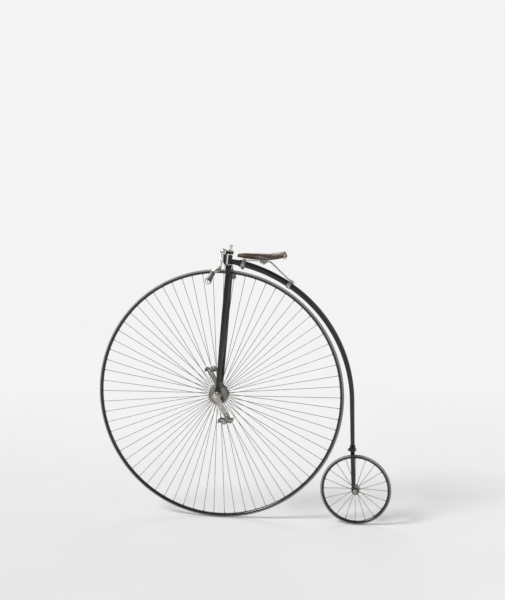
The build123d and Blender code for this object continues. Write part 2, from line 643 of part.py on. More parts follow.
def steering_head():
    """The open head: crown with its leg sockets and lower cup, braced wall, top arm and the bar's lug."""
    body = crown(CROWN_INNER, CROWN_LEG, crown_under, CROWN_ROOF, CROWN_SKIRT, CROWN_TOP_WIDTH, CROWN_DEPTH,
                 CROWN_CORNER, CROWN_ARCH_CORNER, CROWN_EDGE)
    for side in SIDES.values():
        socket = Plane(origin=(0, side * leg_y, crown_foot)) * Ellipse(CROWN_DEPTH / 2, CROWN_LEG / 2)
        body += extrude(socket, CROWN_LEG_DROP - CROWN_SKIRT / 2)
    body += upright(CUP_BOSS_DIA / 2, crown_top - PAST, boss_top)
    wall = extrude(Plane.XZ * head_side(), HEAD_WIDTH / 2, both=True)
    wall &= extrude(Plane.XY.offset(crown_under) * head_plan(), arm_top - crown_under)
    body += wall + upright(HEAD_WIDTH / 2, arm_under, arm_top)
    lug = sideways(BAR_LUG_DIA / 2, -BAR_LUG_WIDTH / 2, BAR_LUG_WIDTH / 2, x=BAR_FORWARD, z=bar_z)
    body += chamfer(lug.edges().filter_by(GeomType.CIRCLE), BAR_LUG_CHAMFER)
    body -= sideways(BAR_DIA / 2 + FIXED_FIT, -BAR_LUG_WIDTH, BAR_LUG_WIDTH, x=BAR_FORWARD, z=bar_z)
    body -= upright(CENTRE_BOLT_DIA / 2 + FIXED_FIT, arm_under - PAST, arm_top + PAST)
    return on_steering_axis(body - spindle_cone(RUNNING_FIT))


def centre_bolt():
    """The bolt through the top arm, with a cone below that holds the spindle and a domed head above."""
    r = CENTRE_BOLT_DIA / 2
    tip = spindle_top - CENTRE_CONE_DEPTH
    head = bolt_top - BOLT_HEAD_HEIGHT
    rim = BOLT_HEAD_DIA / 2
    outline = [(0, tip), (CENTRE_CONE_TIP_DIA / 2, tip), (r, spindle_top), (r, head), (rim, head),
               (rim, bolt_top - BOLT_HEAD_DOME), (rim - BOLT_HEAD_DOME, bolt_top), (0, bolt_top)]
    face = make_face(Plane.XZ * Polyline(*outline, close=True))
    return on_steering_axis(revolve(face, Axis.Z, 360))


def lock_nut():
    """The nut that locks the centre bolt on the top arm."""
    outline = Plane.XY.offset(arm_top) * RegularPolygon(LOCK_NUT_ACROSS / 2, 6, major_radius=False)
    hole = upright(CENTRE_BOLT_DIA / 2 + FIXED_FIT, arm_top - PAST, arm_top + LOCK_NUT_HEIGHT + PAST)
    return on_steering_axis(extrude(outline, LOCK_NUT_HEIGHT) - hole)


def fork_blade(side):
    """An oval blade that narrows from the crown's socket to its ankle and flares round the bearing case."""
    rise = crown_foot - blade_foot_z

    def section(z, size):
        y = case_mid_y + (leg_y - case_mid_y) * (z - blade_foot_z) / rise
        return Plane(origin=(0, side * y, z)) * Ellipse(size[0] / 2, size[1] / 2)

    ankle = section(BLADE_ANKLE_HEIGHT, BLADE_ANKLE)
    middle = section(blade_foot_z + rise * BLADE_MIDDLE_SHARE, BLADE_MIDDLE)
    blade = loft([ankle, middle, section(crown_foot, BLADE_TOP)])
    foot = loft([section(blade_foot_z, BLADE_FOOT), ankle])
    near = side * (case_inner_y - CASE_WIDTH)
    far = side * (case_outer_y + CASE_WIDTH)
    return on_steering_axis(blade + foot - sideways(CASE_DIA / 2 + SEAT_GAP, near, far))


def bearing_case(side):
    """The round housing at the blade's foot, stepped at both ends, with an oiler, in which the axle turns."""
    outer = CASE_DIA / 2
    step = outer - CASE_STEP
    lip = step - CASE_STEP
    bore = AXLE_DIA / 2 + RUNNING_FIT
    near = case_inner_y + CASE_WIDTH * CASE_STEP_SHARE
    far = case_outer_y - CASE_WIDTH * CASE_STEP_SHARE
    points = [(bore, case_inner_y), (lip, case_inner_y), (step, near), (outer, near), (outer, far),
              (step, far), (lip, case_outer_y), (bore, case_outer_y)]
    body = ring_of([(r, side * y) for r, y in points])
    oiler = Pos(0, side * case_mid_y, 0) * upright(OILER_DIA / 2, -outer - OILER_RISE, PAST - outer)
    return at_hub(body + Rot(0, -CASE_OILER_ANGLE, 0) * oiler)


# Handlebar

grip_slope = math.radians(GRIP_SLOPE)
sweep_slope = math.atan2(BAR_SWEEP_DROP, BAR_SWEEP_Y - BAR_DROP_Y)
grip_bend = BAR_GRIP_BEND_RADIUS * math.tan((grip_slope - sweep_slope) / 2)
grip_run = grip_bend + GRIP_TO_BEND + GRIP_LENGTH
sweep_z = bar_z - BAR_DROP - BAR_SWEEP_DROP
bar_end = (BAR_SWEEP_Y + grip_run * math.cos(grip_slope), sweep_z - grip_run * math.sin(grip_slope))


def handlebar():
    """One round bar, level in the lug, dropping beside the head and sweeping out to the grips."""
    bends = [(BAR_SHOULDER_Y, bar_z), (BAR_DROP_Y, bar_z - BAR_DROP), (BAR_SWEEP_Y, sweep_z), bar_end]
    left = [(BAR_FORWARD, y, z) for y, z in bends]
    right = [(x, -y, z) for x, y, z in reversed(left)]
    radii = [BAR_GRIP_BEND_RADIUS, BAR_BEND_RADIUS, BAR_BEND_RADIUS]
    path = FilletPolyline(*(right + left), radius=radii + list(reversed(radii)))
    start = Plane(origin=path @ 0, x_dir=(1, 0, 0), z_dir=path % 0)
    return on_steering_axis(sweep(start * Circle(BAR_DIA / 2), path=path))


def on_bar_end(side, shape):
    """From a frame at the bar's end, Z looking outwards along it, to the machine's frame."""
    y, z = bar_end
    out = (0, side * math.cos(grip_slope), -math.sin(grip_slope))
    end = Plane(origin=(BAR_FORWARD, side * y, z), x_dir=(1, 0, 0), z_dir=out)
    return on_steering_axis(end.location * shape)


def grip(side):
    """A turned handle, slim at its neck and fuller at its end, bored for the bar."""
    bore = BAR_DIA / 2 + FIXED_FIT
    neck = GRIP_NECK_DIA / 2
    bulb = GRIP_BULB_DIA / 2
    end = GRIP_END_DIA / 2
    hole = Line((bore, 0), (bore, -GRIP_LENGTH))
    shoulder_face = Line((bore, -GRIP_LENGTH), (neck, -GRIP_LENGTH))
    swell = ThreePointArc((neck, -GRIP_LENGTH), (neck + GRIP_SWELL, -GRIP_LENGTH * GRIP_SWELL_SHARE),
                          (bulb, -GRIP_BULB_FROM_END))
    turn = ThreePointArc((bulb, -GRIP_BULB_FROM_END), ((bulb + end) / 2 + GRIP_SWELL, -GRIP_ROUND), (end, 0))
    face = Plane.XZ * make_face([hole, shoulder_face, swell, turn, Line((end, 0), (bore, 0))])
    return on_bar_end(side, revolve(face, Axis.Z, 360))


def grip_cap(side):
    """The domed cap on the grip's end, part of a ball."""
    edge = GRIP_CAP_DIA / 2
    ball_r = (edge ** 2 + GRIP_CAP_LENGTH ** 2) / (2 * GRIP_CAP_LENGTH)
    ball = Pos(0, 0, GRIP_CAP_LENGTH - ball_r) * Sphere(ball_r)
    return on_bar_end(side, split(ball, bisect_by=Plane.XY, keep=Keep.TOP))


# Backbone

def bone_plane(spot, heading):
    """Square to the backbone's line at a place, looking along it."""
    u, w = spot
    return Plane(origin=(-u, 0, w), x_dir=(0, 1, 0), z_dir=(-math.cos(heading), 0, -math.sin(heading)))


def bone_span(spot, start, end, r_start, r_end):
    """A tapered round tube along one of the arcs, between two headings."""
    places = [spot(start), spot((start + end) / 2), spot(end)]
    line = ThreePointArc(*[(-u, 0, w) for u, w in places])
    faces = [bone_plane(places[0], start) * Circle(r_start), bone_plane(places[2], end) * Circle(r_end)]
    return sweep(faces, path=line, multisection=True)


def neck():
    """The forged neck: an upright spindle with a cone below and a socket above, and a root that swells to
    the backbone and ends in a collar."""
    spindle = upright(SPINDLE_DIA / 2, boss_top, spindle_top) + spindle_cone(0)
    socket_z = spindle_top - CENTRE_CONE_DEPTH - RUNNING_FIT
    low = Plane.XY.offset(socket_z) * Circle(CENTRE_CONE_TIP_DIA / 2 + RUNNING_FIT)
    high = Plane.XY.offset(spindle_top) * Circle(CENTRE_BOLT_DIA / 2 + RUNNING_FIT)
    spindle -= loft([low, high])
    end_r = bone_radius(NECK_LENGTH)
    root = bone_span(upper_spot, neck_heading, neck_end_heading, NECK_ROOT_DIA / 2, end_r)
    ring = bone_plane(upper_spot(neck_end_heading), neck_end_heading) * Circle(end_r + NECK_COLLAR_RISE)
    collar = extrude(ring, -NECK_COLLAR_LENGTH)
    collar = chamfer(collar.edges().filter_by(GeomType.CIRCLE), NECK_COLLAR_RISE / 2)
    return on_steering_axis(spindle) + at_hub(root + collar)


def backbone():
    """Two tangent arcs round the front wheel and a straight tail, tapering all the way."""
    neck_r = bone_radius(NECK_LENGTH)
    shoulder_r = bone_radius(upper_length)
    tail_r = bone_radius(upper_length + lower_length)
    upper = bone_span(upper_spot, neck_end_heading, shoulder_heading, neck_r, shoulder_r)
    lower = bone_span(lower_spot, shoulder_heading, tail_heading, shoulder_r, tail_r)
    top = bone_plane(lower_spot(tail_heading), tail_heading) * Circle(tail_r)
    end = bone_plane(tail_spot(rear_crown_w), tail_heading) * Circle(bone_radius(bone_length))
    return at_hub(upper + lower + loft([top, end]))


# Rear fork, in the tail's own frame

slope = math.radians(TAIL_SLOPE)
rear_roof_under = -REAR_COLLAR_HEIGHT - REAR_CROWN_ROOF
axle_below = (rear_crown_w - rear_w) / math.cos(slope) + REAR_AXLE_BEHIND * math.sin(slope)
axle_back = REAR_AXLE_BEHIND * math.cos(slope)
eye_inner_y = REAR_DROPOUT_INNER / 2
eye_outer_y = eye_inner_y + REAR_EYE_WALL


def rear_fork():
    """Collar, crown and two flat oval blades with round eyes that stand behind the blades' line."""
    body = crown(REAR_CROWN_INNER, REAR_LEG, rear_roof_under, REAR_CROWN_ROOF, REAR_CROWN_SKIRT,
                 REAR_CROWN_TOP_WIDTH, REAR_BLADE_WIDTH, REAR_CROWN_CORNER, REAR_CROWN_ARCH_CORNER,
                 REAR_CROWN_EDGE)
    collar = upright(REAR_COLLAR_DIA / 2, -REAR_COLLAR_HEIGHT - PAST, 0)
    body += chamfer(collar.edges().group_by(Axis.Z)[-1], REAR_COLLAR_CHAMFER)
    foot_z = REAR_BLADE_IN_EYE - axle_below
    for side in SIDES.values():
        top = Plane(origin=(0, side * (REAR_CROWN_INNER + REAR_LEG) / 2, rear_roof_under - REAR_CROWN_SKIRT))
        foot = Plane(origin=(-REAR_BLADE_SET_BACK, side * (eye_inner_y + eye_outer_y) / 2, foot_z))
        body += loft([top * Ellipse(REAR_BLADE_WIDTH / 2, REAR_LEG / 2),
                      foot * Ellipse(REAR_BLADE_END_WIDTH / 2, REAR_EYE_WALL / 2)])
        eye = sideways(REAR_EYE_DIA / 2, side * eye_inner_y, side * eye_outer_y)
        eye = chamfer(eye.edges().filter_by(GeomType.CIRCLE), REAR_EYE_CHAMFER)
        body += Pos(-axle_back, 0, -axle_below) * eye
    reach = eye_outer_y + PAST
    body -= sideways(REAR_AXLE_DIA / 2 + FIXED_FIT, -reach, reach, x=-axle_back, z=-axle_below)
    return on_tail(body)


def rear_axle():
    """The fixed axle, full through eyes and nuts, with a slimmer plain end outside each nut."""
    shoulder_end = eye_outer_y + REAR_NUT_WIDTH
    end = shoulder_end + REAR_STUB_LENGTH
    full = sideways(REAR_AXLE_DIA / 2, -shoulder_end, shoulder_end)
    return at_rear_hub(full + sideways(REAR_STUB_DIA / 2, -end, end))


def rear_nuts():
    """The nuts that hold the rear axle in the fork's eyes."""
    nuts = []
    for side in SIDES.values():
        end = eye_outer_y + REAR_NUT_WIDTH
        hole = sideways(REAR_AXLE_DIA / 2 + FIXED_FIT, side * (eye_outer_y - PAST), side * (end + PAST))
        nuts.append(hex_bar(REAR_NUT_ACROSS, side * eye_outer_y, side * end) - hole)
    return at_rear_hub(Compound(nuts))


def mounting_step():
    """A clip round the backbone's tail, with a pinch ear on the right and a toothed tread on the left."""
    r = bone_radius(bone_length) + SEAT_GAP
    mid_z = STEP_ABOVE_CROWN + STEP_BAND_HEIGHT / 2
    tread_z = mid_z - STEP_TREAD_DROP
    body = upright(r + STEP_BAND_WALL, STEP_ABOVE_CROWN, STEP_ABOVE_CROWN + STEP_BAND_HEIGHT)
    stem_length = STEP_TREAD_FROM - r + STEP_TREAD_MARGIN
    stem = Box(STEP_STEM_WIDTH, stem_length, STEP_STEM_WALL)
    body += Pos(0, r + stem_length / 2, mid_z - STEP_TREAD_DROP / 2) * stem
    body += Pos(0, -r - STEP_BAND_WALL / 2 - STEP_EAR[1] / 2, mid_z) * Box(*STEP_EAR)
    tread = Box(STEP_TREAD_LENGTH, STEP_TREAD_WIDTH, STEP_TREAD_WALL)
    tread = fillet(tread.edges().filter_by(Axis.Z), STEP_TREAD_CORNER)
    body += Pos(0, STEP_TREAD_FROM + STEP_TREAD_WIDTH / 2, tread_z) * tread
    pitch = (STEP_TREAD_WIDTH - 2 * STEP_TREAD_MARGIN) / STEP_TOOTH_COUNT
    top = tread_z + STEP_TREAD_WALL / 2
    first = STEP_TREAD_FROM + STEP_TREAD_MARGIN
    ridge = [(first, top - PAST)]
    for i in range(STEP_TOOTH_COUNT):
        ridge += [(first + pitch * i, top), (first + pitch * (i + 0.5), top + STEP_TOOTH_DEPTH)]
    ridge += [(first + pitch * STEP_TOOTH_COUNT, top), (first + pitch * STEP_TOOTH_COUNT, top - PAST)]
    half = STEP_TREAD_LENGTH / 2 - STEP_TREAD_CORNER
    body += extrude(seen_from_front() * make_face(Polyline(*ridge, close=True)), half, both=True)
    body -= upright(r, 0, 2 * (STEP_ABOVE_CROWN + STEP_BAND_HEIGHT))
    return on_tail(body)


# Saddle and spring, in the machine's frame

def leather_section(x, half, top, skirt):
    """One rib of the saddle's leather: an arched sheet that ends in two skirts."""
    low = top - skirt
    inside = half - LEATHER_WALL
    outer = ThreePointArc((-half, low), (0, top), (half, low))
    inner = ThreePointArc((inside, low), (0, top - LEATHER_WALL), (-inside, low))
    right = Line((half, low), (inside, low))
    left = Line((-inside, low), (-half, low))
    return seen_from_front(x) * make_face([outer, right, inner, left])


def saddle_leather():
    """A hammock of thick leather, narrow at the nose, wide and raised at the rear."""
    return loft([leather_section(*rib) for rib in LEATHER_RIBS])


def leather_plate(rib, plate, low, step):
    """A plate that backs the leather at one of its ends and stands inwards from it."""
    x, half, top, skirt = rib
    width, length = plate
    span = half - LEATHER_WALL
    rise = skirt - LEATHER_WALL
    arc_r = (span ** 2 + rise ** 2) / (2 * rise)
    mid = top - LEATHER_WALL - arc_r
    r = arc_r - LEATHER_GAP
    edge = width / 2
    edge_z = mid + math.sqrt(r ** 2 - edge ** 2)
    arc = ThreePointArc((-edge, edge_z), (0, mid + r), (edge, edge_z))
    base = Polyline((edge, edge_z), (edge * PLATE_TAPER, low), (-edge * PLATE_TAPER, low), (-edge, edge_z))
    return extrude(seen_from_front(x, step) * make_face([arc, base]), length)


def rail_runs(side):
    """Each rail runs in from the nose plate, then back and a little up to the cantle."""
    nose_x = LEATHER_RIBS[0][0]
    cantle_x = LEATHER_RIBS[-1][0] + CANTLE_PLATE[1] - PAST
    y = side * RAIL_SPREAD / 2
    spots = [Vector(nose_x - NOSE_RAIL_BACK, side * NOSE_RAIL_SPREAD / 2, -NOSE_RAIL_DEPTH),
             Vector(nose_x - NOSE_RUN, y, -RAIL_DEPTH), Vector(cantle_x, y, RAIL_RISE - RAIL_DEPTH)]
    return list(zip(spots[:-1], spots[1:]))


def rail_bar(start, end, radius):
    """A round bar between two places."""
    run = end - start
    return extrude(Plane(origin=start, z_dir=run.normalized()) * Circle(radius), run.length)


def saddle_frame():
    """Nose plate and cantle plate under the leather, joined by two rails."""
    body = leather_plate(LEATHER_RIBS[0], NOSE_PLATE, -NOSE_RAIL_DEPTH - RAIL_DIA / 2, -1)
    body += leather_plate(LEATHER_RIBS[-1], CANTLE_PLATE, -CANTLE_PLATE_DEPTH, 1)
    for side in SIDES.values():
        for start, end in rail_runs(side):
            body += rail_bar(start, end, RAIL_DIA / 2)
            body += Pos(*end) * Sphere(RAIL_DIA / 2)
    return body


spring_level_from = from_bone(clip_heading, spring_on_clip)[0] - CLIP_LENGTH / 2 - SPRING_SETTLE
spring_level_to = CLAMP_X - CLAMP_LENGTH / 2 - SPRING_PAST_CLAMP
clamp_low = -SPRING_DEPTH - SPRING_FALL - SPRING_WALL / 2 - CLAMP_WALL
clamp_high = RAIL_RISE / 2 - RAIL_DEPTH + RAIL_DIA / 2 + CLAMP_WALL / 2


def bend_radii(points, wished):
    """The wished radius at each bend, or the largest that its two runs take."""
    runs = [Vector(*b) - Vector(*a) for a, b in zip(points[:-1], points[1:])]
    radii = []
    for before, after, radius in zip(runs[:-1], runs[1:], wished):
        turn = math.radians(before.get_angle(after))
        room = BEND_SHARE * min(before.length, after.length) / math.tan(turn / 2)
        radii.append(min(radius, room))
    return radii


def along_bone(heading, above, run):
    """A place above the backbone, moved forward along it."""
    x, z = from_bone(heading, above)
    return x + run * math.cos(heading), 0, z + run * math.sin(heading)


def spring_line():
    """The spring's middle line: bolted flat on the front clip, level under the saddle, down to the slider."""
    half = CLIP_LENGTH / 2
    points = [along_bone(clip_heading, spring_on_clip, half), along_bone(clip_heading, spring_on_clip, -half),
              (spring_level_from, 0, -SPRING_DEPTH), (spring_level_to, 0, -SPRING_DEPTH - SPRING_FALL),
              along_bone(slider_heading, spring_on_slider, SPRING_INTO_SLIDER),
              along_bone(slider_heading, spring_on_slider, -SPRING_PAST_SLIDER)]
    return FilletPolyline(*points, radius=bend_radii(points, SPRING_BENDS))


def spring_strip(wall, width):
    """A flat strip along the spring's line."""
    line = spring_line()
    start = Plane(origin=line @ 0, x_dir=(0, 1, 0), z_dir=line % 0)
    return sweep(start * Rectangle(width, wall), path=line)


def saddle_spring():
    """A flat leaf, narrower towards its bolted end."""
    front_x = along_bone(clip_heading, spring_on_clip, CLIP_LENGTH)[0]
    rear_x = along_bone(slider_heading, spring_on_slider, -2 * SPRING_PAST_SLIDER)[0]
    half = SPRING_WIDTH / 2
    edge = [(front_x, SPRING_FRONT_WIDTH / 2), (spring_level_from, half), (rear_x, half)]
    plan = Polyline(*(edge + [(x, -y) for x, y in reversed(edge)]), close=True)
    strip = spring_strip(SPRING_WALL, SPRING_WIDTH) & extrude(make_face(plan), SLIDER_RUN, both=True)
    return strip - clamp_bolt(FIXED_FIT) - clip_bolt(FIXED_FIT)


def band(bore_r, wall, length):
    """A round band along X."""
    return extrude(seen_from_front(-length / 2) * (Circle(bore_r + wall) - Circle(bore_r)), length)


def bone_hole(bore_r):
    """What a clip is bored with for the backbone."""
    return extrude(seen_from_front(-CLIP_LENGTH) * Circle(bore_r), 2 * CLIP_LENGTH)


def spring_clip():
    """The band that holds the spring's front end on the backbone, with a flat pad on top."""
    pad = Pos(0, 0, clip_r + CLIP_WALL / 2) * Box(CLIP_LENGTH, SPRING_FRONT_WIDTH, CLIP_WALL)
    body = band(clip_r, CLIP_WALL, CLIP_LENGTH) + pad - bone_hole(clip_r)
    return on_bone(clip_heading, body) - clip_bolt(FIXED_FIT)


def clip_bolt(clearance):
    """The screw through the spring's front end, with a round head; with a clearance, the hole for it."""
    base = clip_r + CLIP_WALL
    top = base + SPRING_WALL + SCREW_HEAD_GAP
    shank = upright(SADDLE_BOLT_DIA / 2 + clearance, base - SCREW_SINK - clearance, top + clearance)
    if clearance:
        return on_bone(clip_heading, shank)
    return on_bone(clip_heading, shank + upright(SCREW_HEAD_DIA / 2, top, top + SCREW_HEAD))


def spring_slider():
    """The band at the spring's rear end, with a slot in which the spring slides."""
    high = 2 * CLIP_WALL + SPRING_WALL
    block = Box(CLIP_LENGTH, SPRING_WIDTH + 2 * SLIDER_CHEEK, high)
    block = Pos(0, 0, slider_r + high / 2) * chamfer(block.edges().filter_by(Axis.X), SLIDER_CHAMFER)
    slot = Box(CLIP_LENGTH + 2 * PAST, SPRING_WIDTH + 2 * SLIDE_FIT, SPRING_WALL + 2 * SLIDE_FIT)
    body = band(slider_r, CLIP_WALL, CLIP_LENGTH) + block - Pos(0, 0, spring_on_slider) * slot
    return on_bone(slider_heading, body - bone_hole(slider_r))


def saddle_clamp():
    """The stirrup that holds both rails on the spring."""
    size = (CLAMP_LENGTH, SPRING_WIDTH + 2 * CLAMP_WALL, clamp_high - clamp_low)
    block = chamfer(Box(*size).edges().filter_by(Axis.X), CLAMP_CHAMFER)
    block = fillet(block.edges().filter_by(Axis.Z), CLAMP_CORNER)
    block = Pos(CLAMP_X, 0, (clamp_low + clamp_high) / 2) * block
    block -= spring_strip(SPRING_WALL + SLIDE_FIT, SPRING_WIDTH + 2 * SLIDE_FIT)
    for side in SIDES.values():
        start, end = rail_runs(side)[1]
        block -= rail_bar(start, end, RAIL_DIA / 2 + FIXED_FIT)
    return block - clamp_bolt(FIXED_FIT)


def clamp_bolt(clearance):
    """The bolt through clamp and spring, with its nut below; with a clearance, the hole that it needs."""
    shank_r = SADDLE_BOLT_DIA / 2 + clearance
    shank = upright(shank_r, clamp_low - SADDLE_NUT_HEIGHT, clamp_high + SADDLE_NUT_HEIGHT)
    shank = Pos(CLAMP_X, 0, 0) * shank
    if clearance:
        return shank
    base = Plane(origin=(CLAMP_X, 0, clamp_low - SADDLE_NUT_HEIGHT))
    nut = base * RegularPolygon(SADDLE_NUT_ACROSS / 2, 6, major_radius=False)
    return shank + extrude(nut, SADDLE_NUT_HEIGHT)


# Every piece that there is once, by its node
NODES = {
    "front_tyre": lambda: at_hub(tyre_ring(front_r, FRONT_TYRE_DIA)),
    "front_rim": lambda: at_hub(rim_ring(front_r, FRONT_TYRE_DIA)),
    "front_hub": lambda: at_hub(flanged_hub(FRONT_FLANGE_DIA, FRONT_FLANGE_SPREAD, FRONT_FLANGE_WALL,
                                            FRONT_BARREL_DIA, AXLE_DIA + 2 * FIXED_FIT)),
    "front_axle": lambda: at_hub(sideways(AXLE_DIA / 2, -axle_half, axle_half)),
    "rear_tyre": lambda: at_rear_hub(tyre_ring(rear_r, REAR_TYRE_DIA)),
    "rear_rim": lambda: at_rear_hub(rim_ring(rear_r, REAR_TYRE_DIA)),
    "rear_hub": lambda: at_rear_hub(flanged_hub(REAR_FLANGE_DIA, REAR_FLANGE_SPREAD, REAR_FLANGE_WALL,
                                                REAR_BARREL_DIA, REAR_AXLE_DIA + 2 * RUNNING_FIT)),
    "steering_head": steering_head,
    "centre_bolt": centre_bolt,
    "lock_nut": lock_nut,
    "handlebar": handlebar,
    "neck": neck,
    "backbone": backbone,
    "rear_fork": rear_fork,
    "rear_axle": rear_axle,
    "rear_axle_nuts": rear_nuts,
    "mounting_step": mounting_step,
    "saddle_leather": saddle_leather,
    "saddle_frame": saddle_frame,
    "saddle_spring": saddle_spring,
    "saddle_clamp": saddle_clamp,
    "saddle_bolt": lambda: clamp_bolt(0),
    "spring_clip": spring_clip,
    "spring_screw": lambda: clip_bolt(0),
    "spring_slider": spring_slider,
}

# Every piece that there is on the left and on the right
PAIRED_NODES = {
    "front_spokes": lambda side: at_hub(spoke_set(FRONT_WHEEL, side)),
    "rear_spokes": lambda side: at_rear_hub(spoke_set(REAR_WHEEL, side)),
    "crank": lambda side: at_hub(crank_turn(side) * crank(side)),
    "pedal_pin": lambda side: at_hub(crank_turn(side) * pedal_pin(side)),
    "pedal_barrel": lambda side: at_hub(pedal_barrel(side)),
    "pedal_cage": lambda side: at_hub(pedal_cage(side)),
    "fork_blade": fork_blade,
    "bearing_case": bearing_case,
    "grip": grip,
    "grip_cap": grip_cap,
}

for node, make in NODES.items():
    save(make(), node)

for node, make in PAIRED_NODES.items():
    for name, side in SIDES.items():
        save(make(side), f"{node}_{name}")
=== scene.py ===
import json
import math
from collections import namedtuple
import bmesh
import bpy
from mathutils import Matrix, Vector


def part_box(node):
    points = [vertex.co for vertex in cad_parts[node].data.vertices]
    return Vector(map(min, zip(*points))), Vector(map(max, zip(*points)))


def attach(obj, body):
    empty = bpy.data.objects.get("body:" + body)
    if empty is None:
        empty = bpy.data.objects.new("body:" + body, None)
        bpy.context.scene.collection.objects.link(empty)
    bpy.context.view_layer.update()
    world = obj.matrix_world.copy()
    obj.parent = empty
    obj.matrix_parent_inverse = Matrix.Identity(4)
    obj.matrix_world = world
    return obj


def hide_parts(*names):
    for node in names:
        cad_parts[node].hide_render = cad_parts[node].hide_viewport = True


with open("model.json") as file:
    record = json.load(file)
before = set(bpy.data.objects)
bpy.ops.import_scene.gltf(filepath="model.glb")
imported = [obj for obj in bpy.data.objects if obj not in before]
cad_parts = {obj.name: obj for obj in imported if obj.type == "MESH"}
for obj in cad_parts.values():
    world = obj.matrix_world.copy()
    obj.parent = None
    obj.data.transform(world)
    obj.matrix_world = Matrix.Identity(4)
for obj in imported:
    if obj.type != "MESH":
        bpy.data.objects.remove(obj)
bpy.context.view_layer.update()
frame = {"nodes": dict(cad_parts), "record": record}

# Places in metres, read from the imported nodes
tyre_low, tyre_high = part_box("front_tyre")
FRONT_HUB = (tyre_low + tyre_high) / 2
FRONT_RADIUS = (tyre_high.z - tyre_low.z) / 2
GROUND = tyre_low.z
rear_low, rear_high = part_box("rear_tyre")
REAR_HUB = (rear_low + rear_high) / 2
REAR_RADIUS = (rear_high.z - rear_low.z) / 2

# Camera, from the two wheels' outlines in the photograph
CAMERA_AT = Vector((-0.728, 4.524, 0.054))
CAMERA_TOWARDS = Vector((0.1728, -0.9827, -0.0669))
CAMERA_LENS = 51.0
SENSOR_WIDTH = 36.0

# Light. Strengths are shares of white, powers watts (the sun's per square metre), lengths metres
SURROUND_SEEN = 0.90               # how bright the surround looks
SURROUND_LIGHT = 0.42              # how brightly it lights
MIRRORED_BY_Y = (-0.1, 0.9, 1.0, 0.42)    # from, to, and how much of it metal mirrors at each
MIRRORED_BY_Z = (0.25, 0.95, 1.0, 0.38)
WHITE = (1.0, 1.0, 1.0)
FLOOR_SIZE = 60
FLOOR_FADE = (1.7, 4.5)            # where the floor starts and ends its run into the surround
SUN_POWER = 2.0
SUN_AT = (0, 0, 4)
SUN_TOWARDS = (-0.72, -0.55, -0.95)
SUN_SPREAD = math.radians(18)
LAMPS = (("fill", (-3.4, 2.6, 1.4), 22, 2.6), ("rim", (1.2, -3.6, 2.4), 42, 2.0))    # place, power, width
LIT_SPOT = Vector((-0.1, 0.0, -0.7))

# Colours, most of them as the two ends of a mottle
ENAMEL = (0.004, 0.004, 0.0045), (0.011, 0.0105, 0.010)
ENAMEL_CHIP = (0.11, 0.085, 0.07)
ROAD_DUST = (0.20, 0.185, 0.16)
BRIGHT_PLATE = (0.86, 0.83, 0.78), (0.70, 0.66, 0.60)
GEAR_PLATE = (0.56, 0.54, 0.50), (0.34, 0.32, 0.29)
HUB_PLATE = (0.37, 0.355, 0.33), (0.21, 0.20, 0.18)
PLATE_SPECK = (0.13, 0.075, 0.045)
# Colour of the darkening round the hubs' axles: old oil and painted shade
OIL_AND_SHADE = (0.085, 0.07, 0.055)
WORN_STEEL = (0.52, 0.50, 0.47), (0.24, 0.22, 0.20)
BLACKED_STEEL = (0.30, 0.29, 0.27), (0.10, 0.095, 0.09)
RUST = (0.12, 0.06, 0.035)
WIRE = (0.22, 0.215, 0.205), (0.14, 0.135, 0.125)
WIRE_FLECK = (0.07, 0.05, 0.04)
RUBBER = (0.262, 0.255, 0.244), (0.322, 0.312, 0.296)
ROAD_TRACK = (0.205, 0.196, 0.183), (0.298, 0.283, 0.26)
HIDE = (0.015, 0.008, 0.0045), (0.050, 0.024, 0.012)
SAT_HIDE = (0.088, 0.045, 0.022)
DARK_HORN = (0.010, 0.008, 0.007), (0.055, 0.034, 0.020)
DRY_CEMENT = (0.018, 0.017, 0.016), (0.06, 0.055, 0.05)
RED_COPPER = (0.62, 0.33, 0.19), (0.22, 0.11, 0.07)
FLOOR_PALE = (0.80, 0.80, 0.80), (0.84, 0.84, 0.835)


class Sock:
    """A shader value on which + - * and ** add Math nodes."""

    def __init__(self, nodes, link):
        self.nodes = nodes
        self.link = link

    def __add__(self, other):
        return self.nodes.maths("ADD", self, other)

    __radd__ = __add__

    def __sub__(self, other):
        return self.nodes.maths("SUBTRACT", self, other)

    def __rsub__(self, other):
        return self.nodes.maths("SUBTRACT", other, self)

    def __mul__(self, other):
        return self.nodes.maths("MULTIPLY", self, other)

    __rmul__ = __mul__

    def __pow__(self, other):
        return self.nodes.maths("POWER", self, other)


class Nodes:
    """A node tree. node() makes every node, and its sockets take numbers, colours or Socks."""

    def __init__(self, tree):
        self.tree = tree

    def feed(self, socket, value):
        if isinstance(value, Sock):
            self.tree.links.new(value.link, socket)
        elif isinstance(value, tuple) and len(value) == 3 and len(socket.default_value) == 4:
            socket.default_value = (*value, 1.0)
        else:
            socket.default_value = value

    def node(self, kind, settings=None, sockets=None, out=0):
        made = self.tree.nodes.new(kind)
        for key, value in (settings or {}).items():
            setattr(made, key, value)
        for key, value in (sockets or {}).items():
            self.feed(made.inputs[key], value)
        return Sock(self, made.outputs[out])

    def maths(self, operation, first, second):
        return self.node("ShaderNodeMath", {"operation": operation}, {0: first, 1: second})

    def axis(self, name, vector):
        return self.node("ShaderNodeSeparateXYZ", {}, {"Vector": vector}, out=name)

    def band(self, value, low, high, start=0.0, end=1.0):
        """start below low, end above high, and even between them."""
        sockets = {"Value": value, "From Min": low, "From Max": high, "To Min": start, "To Max": end}
        return self.node("ShaderNodeMapRange", {"clamp": True}, sockets)

    def mix(self, factor, first, second):
        return self.node("ShaderNodeMix", {"data_type": "RGBA"}, {0: factor, 6: first, 7: second}, out=2)

    def ray(self, *kinds):
        """1 for light rays of these kinds, 0 for the others."""
        found = 0.0
        for kind in kinds:
            found = self.maths("MAXIMUM", found, self.node("ShaderNodeLightPath", out=f"Is {kind} Ray"))
        return found


